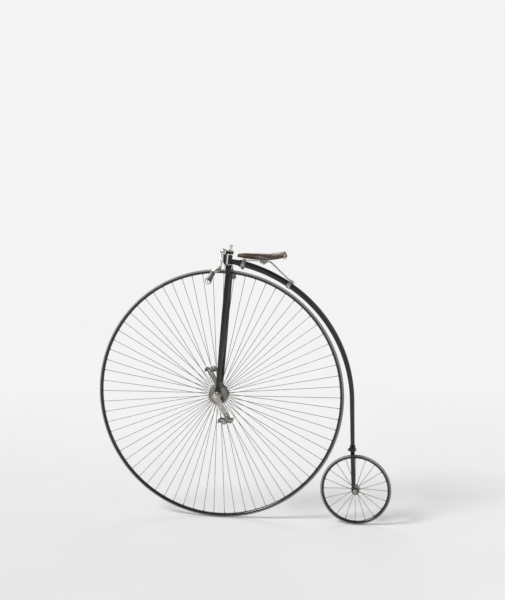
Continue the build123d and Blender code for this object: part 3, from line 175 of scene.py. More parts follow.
class Finish(Nodes):
    """One material, whose patterns stand still on the machine."""

    def __init__(self, name, constants):
        self.material = bpy.data.materials.new(name)
        self.material.use_nodes = True
        super().__init__(self.material.node_tree)
        self.shader = self.tree.nodes["Principled BSDF"]
        self.place = self.node("ShaderNodeTexCoord", out="Object")
        for socket, value in constants.items():
            self.shader.inputs[socket].default_value = value

    def set(self, socket, value):
        self.feed(self.shader.inputs[socket], value)

    def noise(self, scale, detail=2.0, roughness=0.5, vector=None):
        sockets = {"Vector": vector or self.place, "Scale": scale, "Detail": detail, "Roughness": roughness}
        return self.node("ShaderNodeTexNoise", {}, sockets)

    def cells(self, scale):
        return self.node("ShaderNodeTexVoronoi", {}, {"Vector": self.place, "Scale": scale})

    def stretched(self, scale, turn=(0.0, 0.0, 0.0)):
        """Places for a pattern that is drawn out and turned."""
        return self.node("ShaderNodeMapping", {}, {"Vector": self.place, "Scale": scale, "Rotation": turn})

    def facing_up(self):
        normal = self.node("ShaderNodeTexCoord", out="Normal")
        return self.band(self.axis("Z", normal), 0.2, 0.95)

    def bump(self, height, strength, distance):
        sockets = {"Height": height, "Strength": strength, "Distance": distance}
        self.set("Normal", self.node("ShaderNodeBump", {}, sockets))

    def from_axle(self, hub):
        """Distance from an axle's line, across the machine."""
        x = self.axis("X", self.place) - hub.x
        z = self.axis("Z", self.place) - hub.z
        return (x * x + z * z) ** 0.5


def black_enamel():
    """Stoved black, rubbed a little dull, with dust on top and small chips down to the metal."""
    f = Finish("black_enamel", {"Coat Weight": 0.5, "Coat Roughness": 0.05, "Specular IOR Level": 0.30})
    rub = f.noise(26, 5, 0.6)
    dust = f.band(f.noise(70, 8, 0.65), 0.46, 0.72) * f.facing_up()
    chip = f.band(f.noise(330, 3, 0.4) + 0.18 * f.noise(21, 2), 0.845, 0.865)
    dusty = f.mix(dust * 0.14, f.mix(rub, *ENAMEL), ROAD_DUST)
    f.set("Base Color", f.mix(chip * 0.75, dusty, ENAMEL_CHIP))
    f.set("Roughness", f.band(rub, 0.3, 0.7, 0.14, 0.30) + dust * 0.25 + chip * 0.25)
    f.bump(f.noise(340, 3, 0.5) * 0.3 - chip, 0.12, 0.0004)
    return f.material


def nickel(name, plate, clear, dull, oiled_shaded_hubs=()):
    """Polished nickel with wiping marks, dull patches, rust specks, and a darkening round each hub given,
    partly old oil and partly painted shade.
    """
    f = Finish(name, {})
    patch = f.noise(38, 6, 0.62)
    wipe = f.noise(420, 4, 0.6, f.stretched((1.0, 0.12, 0.5), (0.3, 0.5, 0.9)))
    speck = f.band(f.noise(560, 4, 0.5) + 0.15 * patch, 0.80, 0.86)
    colour = f.mix(f.band(patch, 0.35, 0.7), *plate)
    for hub, reach in oiled_shaded_hubs:
        # Darker towards the hub's axle: partly old oil, partly painted shade round the barrel between the
        # flanges
        oil_and_shade = f.band(f.from_axle(hub) + 0.016 * f.noise(120, 4), 0.7 * reach, reach, 1.0, 0.0)
        colour = f.mix(oil_and_shade * 0.7, colour, OIL_AND_SHADE)
    f.set("Base Color", f.mix(speck, colour, PLATE_SPECK))
    f.set("Roughness", f.band(patch, 0.3, 0.72, clear, dull) + wipe * 0.06 + speck * 0.4)
    f.set("Metallic", 1.0 - speck * 0.7)
    f.bump(wipe * 0.4 - speck, 0.05, 0.0003)
    return f.material


def worn_steel(name, steel):
    """Bare steel, handled and oiled, browner in its hollows."""
    f = Finish(name, {})
    stain = f.noise(85, 6, 0.65)
    grain = f.noise(900, 3, 0.6, f.stretched((1.0, 0.1, 1.0)))
    rust = f.band(f.noise(300, 5, 0.6), 0.62, 0.74)
    f.set("Base Color", f.mix(rust * 0.7, f.mix(f.band(stain, 0.3, 0.75), *steel), RUST))
    f.set("Roughness", f.band(stain, 0.3, 0.7, 0.24, 0.48) + rust * 0.25)
    f.set("Metallic", 1.0 - rust * 0.6)
    f.bump(grain * 0.5 - rust * 0.3, 0.09, 0.0004)
    return f.material


def spoke_wire():
    """Dull drawn wire with dark flecks."""
    f = Finish("spoke_steel", {"Metallic": 1.0})
    stain = f.noise(60, 5, 0.6)
    fleck = f.band(f.noise(900, 3), 0.6, 0.75)
    f.set("Base Color", f.mix(fleck * 0.6, f.mix(f.band(stain, 0.35, 0.7), *WIRE), WIRE_FLECK))
    f.set("Roughness", f.band(stain, 0.3, 0.7, 0.30, 0.46) + fleck * 0.2)
    f.bump(f.noise(1500, 2), 0.05, 0.0002)
    return f.material


def tyre_rubber():
    """Grey solid rubber: dusty, scuffed along the road's track, with fine moulding grain."""
    f = Finish("tyre_rubber", {"Specular IOR Level": 0.35})
    tread = 0.0
    for hub, radius in ((FRONT_HUB, FRONT_RADIUS), (REAR_HUB, REAR_RADIUS)):
        out = f.from_axle(hub)
        worn = f.band(out, radius - 0.0035, radius - 0.0005)
        tread = tread + worn * f.band(out, radius + 0.002, radius + 0.003, 1.0, 0.0)
    scuff = f.noise(260, 5, 0.7)
    grey = f.mix(f.band(f.noise(32, 6, 0.62), 0.3, 0.72), *RUBBER)
    track = f.mix(f.band(scuff, 0.42, 0.66), *ROAD_TRACK)
    f.set("Base Color", f.mix(tread * 0.8, grey, track))
    f.set("Roughness", 0.62 + 0.25 * scuff)
    f.bump(f.noise(700, 4, 0.6) * 0.5 + scuff * tread, 0.28, 0.0006)
    return f.material


def saddle_hide():
    """Thick moulded leather: dark, polished where it is sat on, with pores and creases."""
    f = Finish("saddle_leather", {"Specular IOR Level": 0.36})
    crease = f.noise(95, 7, 0.7, f.stretched((1.0, 0.45, 1.0)))
    sat = f.band(f.axis("Z", f.place), -0.024, -0.002) * f.band(f.noise(24, 3), 0.3, 0.62)
    f.set("Base Color", f.mix(sat * 0.5, f.mix(f.band(crease, 0.36, 0.66), *HIDE), SAT_HIDE))
    f.set("Roughness", f.band(crease, 0.3, 0.7, 0.52, 0.36) - sat * 0.12)
    f.bump(f.cells(900) * 0.35 + f.band(crease, 0.4, 0.6), 0.3, 0.0006)
    return f.material


def horn():
    """Dark turned horn with faint brown streaks along it."""
    f = Finish("horn_black", {"Coat Weight": 0.35, "Coat Roughness": 0.12})
    streak = f.noise(90, 5, 0.6, f.stretched((1.0, 0.07, 0.2)))
    f.set("Base Color", f.mix(f.band(streak, 0.45, 0.75), *DARK_HORN))
    f.set("Roughness", f.band(streak, 0.3, 0.8, 0.26, 0.44))
    f.bump(f.noise(600, 3), 0.06, 0.0003)
    return f.material


def cement():
    """Dark cement with a dull dusty face; the same finish is the painted shade in the step clip's slit and
    the spring screw's slot.
    """
    f = Finish("tyre_cement", {"Roughness": 0.75, "Specular IOR Level": 0.3})
    f.set("Base Color", f.mix(f.noise(140, 4), *DRY_CEMENT))
    f.bump(f.noise(500, 3), 0.2, 0.0004)
    return f.material


def copper():
    """Hammered copper, browned in patches."""
    f = Finish("copper_rivet", {"Metallic": 1.0})
    tarnish = f.noise(420, 5, 0.6)
    f.set("Base Color", f.mix(f.band(tarnish, 0.35, 0.7), *RED_COPPER))
    f.set("Roughness", f.band(tarnish, 0.3, 0.7, 0.25, 0.5))
    f.bump(f.noise(900, 3), 0.15, 0.0003)
    return f.material


def floor_paint():
    """Pale paint that is seen to run into the surround, well away from the machine."""
    f = Finish("studio_floor", {"Roughness": 0.9})
    f.set("Base Color", f.mix(f.noise(2.0, 3), *FLOOR_PALE))
    x, y = f.axis("X", f.place), f.axis("Y", f.place)
    away = f.band((x * x + y * y) ** 0.5, *FLOOR_FADE)
    glow = f.node("ShaderNodeEmission", {}, {"Color": WHITE, "Strength": SURROUND_SEEN})
    sockets = {0: away * f.ray("Camera", "Glossy", "Transmission"), 1: Sock(f, f.shader.outputs[0]), 2: glow}
    f.feed(f.tree.nodes["Material Output"].inputs["Surface"], f.node("ShaderNodeMixShader", {}, sockets))
    return f.material


FINISHES = {
    "black_enamel": black_enamel(),
    "nickel_plate": nickel("nickel_plate", BRIGHT_PLATE, 0.09, 0.30),
    "bright_steel": worn_steel("bright_steel", WORN_STEEL),
    "pedal_steel": worn_steel("pedal_steel", BLACKED_STEEL),
    "spoke_steel": spoke_wire(),
    "tyre_rubber": tyre_rubber(),
    "saddle_leather": saddle_hide(),
    "horn_black": horn(),
}
# Cement, and the painted shade of the step clip's slit and the spring screw's slot
CEMENT_AND_GAP_SHADE = cement()
COPPER = copper()

# The driving gear's plate is darker than the handlebar's, and the hubs' is the darkest
GEAR_NICKEL = nickel("gear_nickel", GEAR_PLATE, 0.14, 0.34)
HUB_NICKEL = nickel("hub_nickel", HUB_PLATE, 0.20, 0.42, oiled_shaded_hubs=((FRONT_HUB, 0.040), (REAR_HUB, 0.022)))
GEAR = {"front_hub": HUB_NICKEL, "rear_hub": HUB_NICKEL, "bearing_case_left": GEAR_NICKEL,
        "bearing_case_right": GEAR_NICKEL, "crank_left": GEAR_NICKEL, "crank_right": GEAR_NICKEL}

for row in frame["record"]["subparts"]:
    node_mesh = frame["nodes"][row["node"]].data
    node_mesh.materials.clear()
    node_mesh.materials.append(GEAR.get(row["node"], FINISHES[row["material_slot"]]))


# From here on, sizes are the machine's own in millimetres and degrees, and Y starts at its middle plane
MM = 0.001
SHARP = math.radians(32)       # edges that turn more stay sharp
SIDES = {"left": 1, "right": -1}
HEAD_LEAN = -5.0
TAIL_LEAN = 1.1
CLIP_LEAN = -14.395
SLIDER_LEAN = -33.587
CRANK_LENGTH = 133.0
CRANK_ANGLE = 30.0

# Where the frames of the tail, the clip and the slider stand, in metres
TAIL_TOP = Vector((-0.478406, 0.0, -1.050272))
CLIP_AT = Vector((0.116733, 0.0, -0.059513))
SLIDER_AT = Vector((-0.132430, 0.0, -0.170400))


def frame_at(place, turn=0.0):
    """From millimetres in a frame turned about Y to metres in the machine's frame."""
    return Matrix.Translation(place) @ Matrix.Rotation(math.radians(turn), 4, "Y") @ Matrix.Scale(MM, 4)


MACHINE = frame_at((0, 0, 0))
HUB = frame_at(FRONT_HUB)
STEER = frame_at(FRONT_HUB, HEAD_LEAN)
REAR = frame_at(REAR_HUB)
TAIL = frame_at(TAIL_TOP, TAIL_LEAN)
CLIP = frame_at(CLIP_AT, CLIP_LEAN)
SLIDER = frame_at(SLIDER_AT, SLIDER_LEAN)
CRANKS = {1: frame_at(FRONT_HUB, CRANK_ANGLE), -1: frame_at(FRONT_HUB, CRANK_ANGLE + 180)}


def put(place, towards=(0, 0, 1)):
    """Carry a shape's foot to a place and turn its Z to a direction, in its frame."""
    return Matrix.Translation(place) @ Vector(towards).to_track_quat("Z", "Y").to_matrix().to_4x4()


def outwards(side, y, x=0.0, z=0.0):
    """A place on one side of the machine, facing away from its middle plane."""
    return put((x, side * y, z), (0, side, 0))


def inwards(side, y, x=0.0, z=0.0):
    return put((x, side * y, z), (0, -side, 0))


def beside(side, place, x=0.0):
    """A place or direction on one side of the machine, from how far out and how high."""
    return x, side * place[0], place[1]


def bevel(shape, edges, width):
    bmesh.ops.bevel(shape, geom=edges, offset=width, offset_type="OFFSET", segments=2, profile=0.5,
                    affect="EDGES", material=-1, clamp_overlap=True)


def bar(radius, low, high, sides=24, edge=0.0):
    """A round or many-sided bar along Z with bevelled ends."""
    shape = bmesh.new()
    bmesh.ops.create_cone(shape, cap_ends=True, segments=sides, radius1=radius, radius2=radius,
                          depth=high - low, matrix=Matrix.Translation((0, 0, (low + high) / 2)))
    if edge:
        bevel(shape, [e for e in shape.edges if abs(e.verts[0].co.z - e.verts[1].co.z) < 1e-4], edge)
    return shape


def nut(across, low, high):
    """A six-sided nut with its edges broken."""
    return bar(across / 2 / math.cos(math.pi / 6), low, high, sides=6, edge=(high - low) * 0.12)


def slab(size, at=(0, 0, 0), edge=0.5):
    """A block with bevelled edges."""
    shape = bmesh.new()
    bmesh.ops.create_cube(shape, size=1.0, matrix=Matrix.Translation(at) @ Matrix.Diagonal((*size, 1.0)))
    bevel(shape, shape.edges[:], edge)
    return shape


def spun(shape, lines, steps):
    bmesh.ops.spin(shape, geom=shape.verts[:] + lines, cent=(0, 0, 0), axis=(0, 0, 1), dvec=(0, 0, 0),
                   angle=math.tau, steps=steps, use_merge=True, use_normal_flip=False, use_duplicate=False)
    bmesh.ops.remove_doubles(shape, verts=shape.verts[:], dist=1e-4)
    return shape


def turned(*outline, lift=0.0, steps=40):
    """An outline of (radius, height) spun about Z: a ring, or a solid where it starts on the axis."""
    shape = bmesh.new()
    dots = [shape.verts.new((r, 0, z + lift)) for r, z in outline]
    ends = list(zip(dots[:-1], dots[1:]))
    if outline[0][0] > 0:
        ends.append((dots[-1], dots[0]))
    return spun(shape, [shape.edges.new(pair) for pair in ends], steps)


def washer(hole, radius, low, high, steps=40):
    return turned((hole, low), (radius, low), (radius, high), (hole, high), steps=steps)


def hoop(radius, thick, height=0.0, steps=48, sides=10):
    """A ring of round bar about Z."""
    shape = bmesh.new()
    place = Matrix.Translation((radius, 0, height)) @ Matrix.Rotation(math.pi / 2, 4, "X")
    bmesh.ops.create_circle(shape, cap_ends=False, segments=sides, radius=thick, matrix=place)
    return spun(shape, shape.edges[:], steps)


def dome(radius, rise, steps=20):
    """A low round rivet or screw head, flat below."""
    return turned((0, rise), (radius * 0.45, rise * 0.9), (radius * 0.8, rise * 0.6), (radius, 0), (0, 0),
                  steps=steps)


class Piece:
    """One visible piece, gathered from shapes that its frame and each place carry onto the machine."""

    def __init__(self, name, body, slot, finish=None, within=MACHINE):
        self.name = name
        self.body = body
        self.slot = slot
        self.finish = finish or FINISHES[slot]
        self.frame = within
        self.mesh = bmesh.new()

    def add(self, shape, *places):
        """Add the shape at each place, or with none at the frame's own."""
        for place in places or (Matrix.Identity(4),):
            copy = shape.copy()
            bmesh.ops.transform(copy, matrix=self.frame @ place, verts=copy.verts[:])
            carrier = bpy.data.meshes.new("carrier")
            copy.to_mesh(carrier)
            copy.free()
            self.mesh.from_mesh(carrier)
            bpy.data.meshes.remove(carrier)
        shape.free()

    def done(self):
        """Close the piece: faces outwards, round faces smooth, and the body that carries it."""
        bmesh.ops.recalc_face_normals(self.mesh, faces=self.mesh.faces[:])
        for edge in self.mesh.edges:
            if len(edge.link_faces) == 2 and edge.calc_face_angle() > SHARP:
                edge.smooth = False
        made = visible(self.name, self.mesh, self.finish)
        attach(made, self.body)


def visible(name, shape, finish):
    """A smooth object from a shape, with its finish."""
    for face in shape.faces:
        face.smooth = True
    mesh = bpy.data.meshes.new(name)
    shape.to_mesh(mesh)
    shape.free()
    mesh.materials.append(finish)
    made = bpy.data.objects.new(name, mesh)
    bpy.context.scene.collection.objects.link(made)
    return made


# Wheels. A row has radii of the parts, the flange's middle and wall, and how high the hub's oiler is
Wheel = namedtuple("Wheel", "name hub body tyre_r tyre_half rim_r spoke_r spokes "
                            "flange_r flange_y wall barrel_r oiler_top")
WHEELS = (
    Wheel("front", FRONT_HUB, "front_wheel", tyre_r=676.5, tyre_half=9.5, rim_r=664.15, spoke_r=1.4,
          spokes=35, flange_r=50.0, flange_y=34.0, wall=6.0, barrel_r=17.0, oiler_top=25.0),
    Wheel("rear", REAR_HUB, "rear_wheel", tyre_r=181.75, tyre_half=8.75, rim_r=170.15, spoke_r=1.3,
          spokes=10, flange_r=21.0, flange_y=22.0, wall=4.0, barrel_r=11.0, oiler_top=19.0),
)
SPOKE_SPREAD = 2.5             # Y of a spoke's outer end
BARREL_BEAD_Y = 8.6
FLANGE_BEAD_SHARE = 0.35       # of the way from the barrel to the flange's edge


def spoke_places(wheel, side):
    """Each spoke's foot at the flange and head at the rim, and its way outwards."""
    foot = Vector((wheel.flange_r, side * wheel.flange_y, 0))
    head = Vector((wheel.rim_r, side * SPOKE_SPREAD, 0))
    first = 0.5 if side > 0 else 0.0
    for i in range(wheel.spokes):
        turn = Matrix.Rotation(math.tau * (i + first) / wheel.spokes, 3, "Y")
        yield turn @ foot, turn @ head, turn @ (head - foot)


def spoke_fittings(wheel):
    """Threaded collars where the spokes screw into the flanges, and ferrules where they leave the rim."""
    hub = frame_at(wheel.hub)
    collars = Piece(wheel.name + "_spoke_collars", wheel.body, "nickel_plate", HUB_NICKEL, hub)
    ferrules = Piece(wheel.name + "_spoke_ferrules", wheel.body, "spoke_steel", within=hub)
    r = wheel.spoke_r
    for side in SIDES.values():
        rows = list(spoke_places(wheel, side))
        collar = turned((0, -2.0), (r + 1.3, -2.0), (r + 1.3, 1.6), (r + 0.8, 2.4), (r + 0.8, 7.0),
                        (r + 0.15, 9.0), (0, 9.0), steps=12)
        collars.add(collar, *[put(foot, way) for foot, head, way in rows])
        ferrule = turned((0, -7.0), (r + 0.2, -7.0), (r + 0.7, -5.5), (r + 0.7, -1.5), (r + 1.8, -0.8),
                         (r + 1.8, 0.6), (0, 0.6), steps=12)
        ferrules.add(ferrule, *[put(head, way) for foot, head, way in rows])
    collars.done()
    ferrules.done()


def tyre_cement(wheel):
    """The bead of cement that shows between the rim's lips and the tyre."""
    bead = Piece(wheel.name + "_tyre_cement", wheel.body, "black_enamel", CEMENT_AND_GAP_SHADE, frame_at(wheel.hub))
    for side in SIDES.values():
        ring = hoop(wheel.tyre_r - 0.3, 0.75, wheel.tyre_half + 0.15, steps=240, sides=8)
        bead.add(ring, outwards(side, 0))
    bead.done()


def hub_mouldings(wheel):
    """Turned beads on the barrel and the flanges, and a lidded cap on the oiler."""
    beads = Piece(wheel.name + "_hub_beads", wheel.body, "nickel_plate", HUB_NICKEL, frame_at(wheel.hub))
    outer = wheel.flange_y + wheel.wall / 2
    inner = wheel.barrel_r + (wheel.flange_r - wheel.barrel_r) * FLANGE_BEAD_SHARE
    edge, middle = wheel.flange_r, wheel.flange_y
    for side in SIDES.values():
        way = outwards(side, 0)
        beads.add(hoop(wheel.barrel_r + 0.3, 1.1, BARREL_BEAD_Y), way)
        beads.add(hoop(wheel.barrel_r + 0.2, 1.2, outer - wheel.wall * 2.6), way)
        beads.add(hoop(edge - 2.4, 0.9, outer, steps=72), way)
        beads.add(hoop(inner, 0.7, outer, steps=60), way)
        beads.add(turned((edge - 0.2, middle - 1.0), (edge + 0.5, middle - 0.5), (edge + 0.5, middle + 0.5),
                         (edge - 0.2, middle + 1.0), steps=72), way)
    beads.add(turned((0, 3.6), (1.3, 3.4), (1.9, 2.2), (4.4, 1.6), (4.6, -1.2), (3.4, -1.8), (0, -1.8),
                     lift=wheel.oiler_top, steps=24))
    beads.done()


for wheel in WHEELS:
    spoke_fittings(wheel)
    tyre_cement(wheel)
for wheel in WHEELS:
    hub_mouldings(wheel)


# Driving gear
CASE_RADIUS = 22.0             # bearing case, round the front axle
CASE_MIDDLE = 52.0
CASE_HALF = 10.0
CASE_BEAD = 7.4                # from its middle
CASE_SCREW_R = 17.4
CASE_OILER_TOP = 28.0
CASE_OILER_LEAN = -60.0
CRANK_MIDDLE = 77.0            # the crank's boss, its two faces and the axle's end beyond it
CRANK_INNER = 67.0
CRANK_OUTER = 87.0
AXLE_END = 91.0
COTTER_Z = 10.0                # above the axle
COTTER_HEAD_X = 17.0
PIN_INNER = 72.0               # the crank's two faces at the pedal's pin, and the pin's nutted end
PIN_OUTER = 82.0
PIN_BACK = 63.0
PEDAL_MIDDLE = 136.0           # the pedal's own rings, rivets and bolts are measured from it
PEDAL_LOCK_RINGS = (-37.4, 37.4)
PEDAL_DUST_RINGS = (-44.6, 44.6)
PEDAL_RIVETS = (-40.0, -33.0, 33.0, 40.0)
PEDAL_BOLT = 41.6
PEDAL_RIVET_X = 35.0
PEDAL_BOLT_X = 25.0
PEDAL_BARREL_TOP = 7.8


def case_fittings(name, side):
    """What a bearing case carries: notched adjusting ring, three face screws and a capped oiler."""
    face = CASE_MIDDLE + CASE_HALF
    ring = Piece("case_ring_" + name, "steering", "nickel_plate", within=HUB)
    ring.add(turned((10.0, -0.6), (15.4, -0.6), (15.4, 1.4), (14.6, 2.0), (11.0, 2.0), (10.0, 1.4)),
             outwards(side, face))
    turns = [Matrix.Rotation(math.tau * i / 6 + 0.3, 4, "Z") for i in range(6)]
    ring.add(slab((2.4, 3.0, 1.0), (14.6, 0, 1.8), 0.2), *[outwards(side, face) @ turn for turn in turns])
    ring.add(turned((9.4, -0.6), (14.6, -0.6), (14.6, 1.0), (13.8, 1.6), (9.4, 1.6)),
             inwards(side, CASE_MIDDLE - CASE_HALF))
    for height in (-CASE_BEAD, CASE_BEAD):
        ring.add(hoop(CASE_RADIUS - 0.1, 0.7, height, steps=60), outwards(side, CASE_MIDDLE))
    ring.done()
    screws = Piece("case_screws_" + name, "steering", "bright_steel", within=HUB)
    for i in range(3):
        turn = Matrix.Rotation(math.tau * (i + 0.25) / 3, 4, "Z")
        screws.add(dome(2.3, 1.3), outwards(side, face - 1.4) @ turn @ put((CASE_SCREW_R, 0, 0)))
    cap = turned((0, 3.6), (1.2, 3.4), (1.8, 2.2), (4.2, 1.6), (4.4, -1.0), (3.3, -1.6), (0, -1.6),
                 lift=CASE_OILER_TOP, steps=24)
    lean = Matrix.Rotation(math.radians(CASE_OILER_LEAN), 4, "Y")
    screws.add(cap, lean @ put((0, side * CASE_MIDDLE, 0), (0, 0, -1)))
    screws.done()


def crank_fittings(name, side):
    """Cotter with its nut through the crank's boss, axle end, and washers at the pedal's pin."""
    cotter = Piece("crank_cotter_" + name, "front_wheel", "bright_steel", within=CRANKS[side])
    across = put((0, side * CRANK_MIDDLE, COTTER_Z), (-1, 0, 0))
    cotter.add(bar(3.4, -18.5, 19.5, edge=0.5), across)
    cotter.add(washer(3.0, 7.0, 14.6, 15.9, steps=28), across)
    cotter.add(nut(11.0, 15.9, 21.0), across)
    cotter.add(bar(2.6, 20.0, 24.0, 20, edge=0.6), across)
    cotter.add(dome(4.6, 2.6), put((COTTER_HEAD_X, side * CRANK_MIDDLE, COTTER_Z), (1, 0, 0)))
    cotter.done()
    trim = Piece("crank_trim_" + name, "front_wheel", "nickel_plate", within=CRANKS[side])
    trim.add(turned((0, 2.4), (2.2, 2.4), (5.0, 1.6), (7.2, 0), (0, 0), steps=32), outwards(side, AXLE_END))
    trim.add(hoop(14.6, 0.9, steps=60), outwards(side, CRANK_OUTER))
    trim.add(hoop(10.2, 0.9), outwards(side, CRANK_OUTER))
    trim.add(turned((8.1, -4.2), (12.6, -4.2), (13.2, -3.0), (13.2, -1.2), (12.6, -0.4), (8.1, -0.4)),
             outwards(side, CRANK_INNER))
    trim.done()
    washers = Piece("pedal_washers_" + name, "front_wheel", "bright_steel", within=CRANKS[side])
    foot = -CRANK_LENGTH
    washers.add(turned((5.2, 0), (11.8, 0), (11.8, 0.9), (11.2, 1.3), (5.2, 1.3)),
                inwards(side, PIN_INNER, z=foot))
    washers.add(washer(5.2, 11.6, 0, 1.2), outwards(side, PIN_OUTER, z=foot))
    washers.add(turned((9.8, 1.4), (10.7, 1.8), (10.7, 4.6), (9.8, 5.0)), outwards(side, PIN_OUTER, z=foot))
    washers.add(turned((0, 1.4), (2.4, 1.4), (4.6, 0), (0, 0), steps=24), inwards(side, PIN_BACK, z=foot))
    washers.done()


def pedal_fittings(name, side):
    """Lock rings on the barrel, rivets and bolts at the cage's corners, dust rings and an oil screw."""
    angle = math.radians(CRANK_ANGLE)
    pin = FRONT_HUB + Vector((-side * math.sin(angle), 0, -side * math.cos(angle))) * CRANK_LENGTH * MM
    body = name + "_pedal"
    rings = Piece("pedal_rings_" + name, body, "bright_steel", within=frame_at(pin))
    for step in PEDAL_LOCK_RINGS:
        rings.add(washer(11.3, 14.4, -2.2, 2.2, steps=6), outwards(side, PEDAL_MIDDLE + step))
    for step in PEDAL_DUST_RINGS:
        rings.add(hoop(11.3, 0.8), outwards(side, PEDAL_MIDDLE + step))
    rings.add(hoop(8.9, 0.9), outwards(side, PEDAL_MIDDLE))
    rings.add(turned((0, 4.2), (2.0, 4.0), (2.6, 2.6), (3.6, 2.0), (3.6, 0), (0, 0), steps=20),
              put((0, side * PEDAL_MIDDLE, PEDAL_BARREL_TOP)))
    rings.done()
    rivets = Piece("pedal_rivets_" + name, body, "pedal_steel", within=frame_at(pin))
    for step in PEDAL_RIVETS:
        y = side * (PEDAL_MIDDLE + step)
        for x in (-1, 1):
            rivets.add(dome(1.9, 1.2, 14), put((x * PEDAL_RIVET_X, y, 0), (x, 0, 0)))
    for step, facing in ((-PEDAL_BOLT, inwards), (PEDAL_BOLT, outwards)):
        for x in (-PEDAL_BOLT_X, PEDAL_BOLT_X):
            place = facing(side, PEDAL_MIDDLE + step, x)
            rivets.add(nut(8.0, 0, 3.2), place)
            rivets.add(bar(2.0, 3.0, 5.2, 16, edge=0.4), place)
    rivets.done()


for name, side in SIDES.items():
    case_fittings(name, side)
    crank_fittings(name, side)
    pedal_fittings(name, side)


# Steering head and handlebar, in the frame of the steering axis with heights from the front hub. A place is
# how far out, how high; the bar's is how far forward, how high
CROWN_LEG = (27.0, 669.6)
CROWN_LEG_OVAL = (16.3, 8.9)
CROWN_SHOULDER = (22.0, 704.2)
SHOULDER_SLANT = (0.62, 0.78)
CUP_TOP = 714.0
ARM_TOP = 787.0
LOCK_NUT_TOP = 795.0
BOLT_HEAD_FOOT = 809.0
BAR_AT = (38.0, 779.0)
BAR_LUG_HALF = 23.0
BAR_PIN_ENDS = (16.6, 19.4)    # from the bar's middle
BAR_PIN_SLANT = 0.32
GRIP_END = (342.12, 629.01)
GRIP_SLOPE = 23.0
GRIP_CAP_END = 8.7             # along the grip, from its end
FERRULE_TOP = -108.0
GRIP_BEADS = ((-103.0, 12.75), (-100.2, 12.85), (-34.0, 15.3), (-31.0, 15.6), (-5.4, 15.2))    # and radii


def head_fittings():
    """Dust rings at both cones, rings of the centre bolt, oil screws on the crown, a bead round each leg."""
    trim = Piece("head_trim", "steering", "nickel_plate", within=STEER)
    trim.add(turned((12.8, -0.4), (16.4, -0.4), (16.4, 2.4), (15.4, 3.4), (12.8, 3.4),
                    lift=CUP_TOP, steps=48))
    trim.add(turned((7.2, -0.4), (15.4, -0.4), (15.4, 1.0), (14.8, 1.6), (7.2, 1.6), lift=ARM_TOP, steps=48))
    trim.add(hoop(10.0, 0.9, BOLT_HEAD_FOOT + 2.4))
    trim.add(hoop(10.2, 0.7, BOLT_HEAD_FOOT + 6.6))
    trim.add(turned((6.9, 0), (9.6, 0), (9.0, 2.4), (6.9, 2.4), lift=LOCK_NUT_TOP, steps=36))
    for side in SIDES.values():
        trim.add(turned((0, 6.2), (1.5, 6.0), (2.1, 4.6), (3.6, 4.0), (3.9, -1.0), (0, -1.0), steps=24),
                 put(beside(side, CROWN_SHOULDER), beside(side, SHOULDER_SLANT)))
    trim.done()
    beads = Piece("head_beads", "steering", "black_enamel", within=STEER)
    for side in SIDES.values():
        oval = Matrix.Diagonal((*CROWN_LEG_OVAL, 16.0, 1.0))
        beads.add(hoop(1.0, 0.075, steps=60, sides=8), put(beside(side, CROWN_LEG)) @ oval)
    beads.done()


def bar_fittings():
    """Collars where the bar leaves the lug, and both ends of the pin that keys it."""
    x, z = BAR_AT
    collars = Piece("bar_collars", "steering", "nickel_plate", within=STEER)
    for side in SIDES.values():
        collars.add(turned((11.2, -1.4), (15.2, -1.4), (15.2, 0.6), (13.6, 1.6), (13.6, 3.0), (12.4, 4.2),
                           (11.2, 4.2), steps=48), outwards(side, BAR_LUG_HALF, x, z))
    collars.done()
    pin = Piece("bar_pin", "steering", "bright_steel", within=STEER)
    for way in (1, -1):
        pin.add(bar(3.1, *BAR_PIN_ENDS, 20, edge=0.7), put((x, 0, z), (BAR_PIN_SLANT, 0, way)))
    pin.done()


def grip_fittings(name, side):
    """Bright ferrule, turned beads on the grip, and the cap's rim and screw."""
    slope = math.radians(GRIP_SLOPE)
    y, z = GRIP_END
    place = put((BAR_AT[0], side * y, z), (0, side * math.cos(slope), -math.sin(slope)))
    trim = Piece("grip_trim_" + name, "steering", "nickel_plate", within=STEER)
    trim.add(turned((11.2, -8.0), (12.4, -8.0), (13.0, -6.4), (13.4, -1.0), (12.9, 0), (11.2, 0),
                    lift=FERRULE_TOP), place)
    trim.add(hoop(12.6, 0.9, 0.3), place)
    trim.add(dome(2.6, 1.3), place @ put((0, 0, GRIP_CAP_END)))
    trim.done()
    beads = Piece("grip_beads_" + name, "steering", "horn_black", within=STEER)
    for height, radius in GRIP_BEADS:
        beads.add(hoop(radius, 0.85, height), place)
    beads.done()


head_fittings()
bar_fittings()
for name, side in SIDES.items():
    grip_fittings(name, side)


# Frame. Along the rear axle from the middle plane, then in the tail's frame
REAR_CONE = (26.6, 30.6)
REAR_EYE = 37.6
REAR_NUT = 46.0
TAIL_LEG = (22.0, -30.2)       # how far out, how high
TAIL_LEG_OVAL = (10.7, 4.8)
STEP_EAR = (-20.6, 14.0)
STEP_RIVET_X = 14.0
STEP_RIVET_YS = (36.0, 64.0)
STEP_UNDER = 8.1


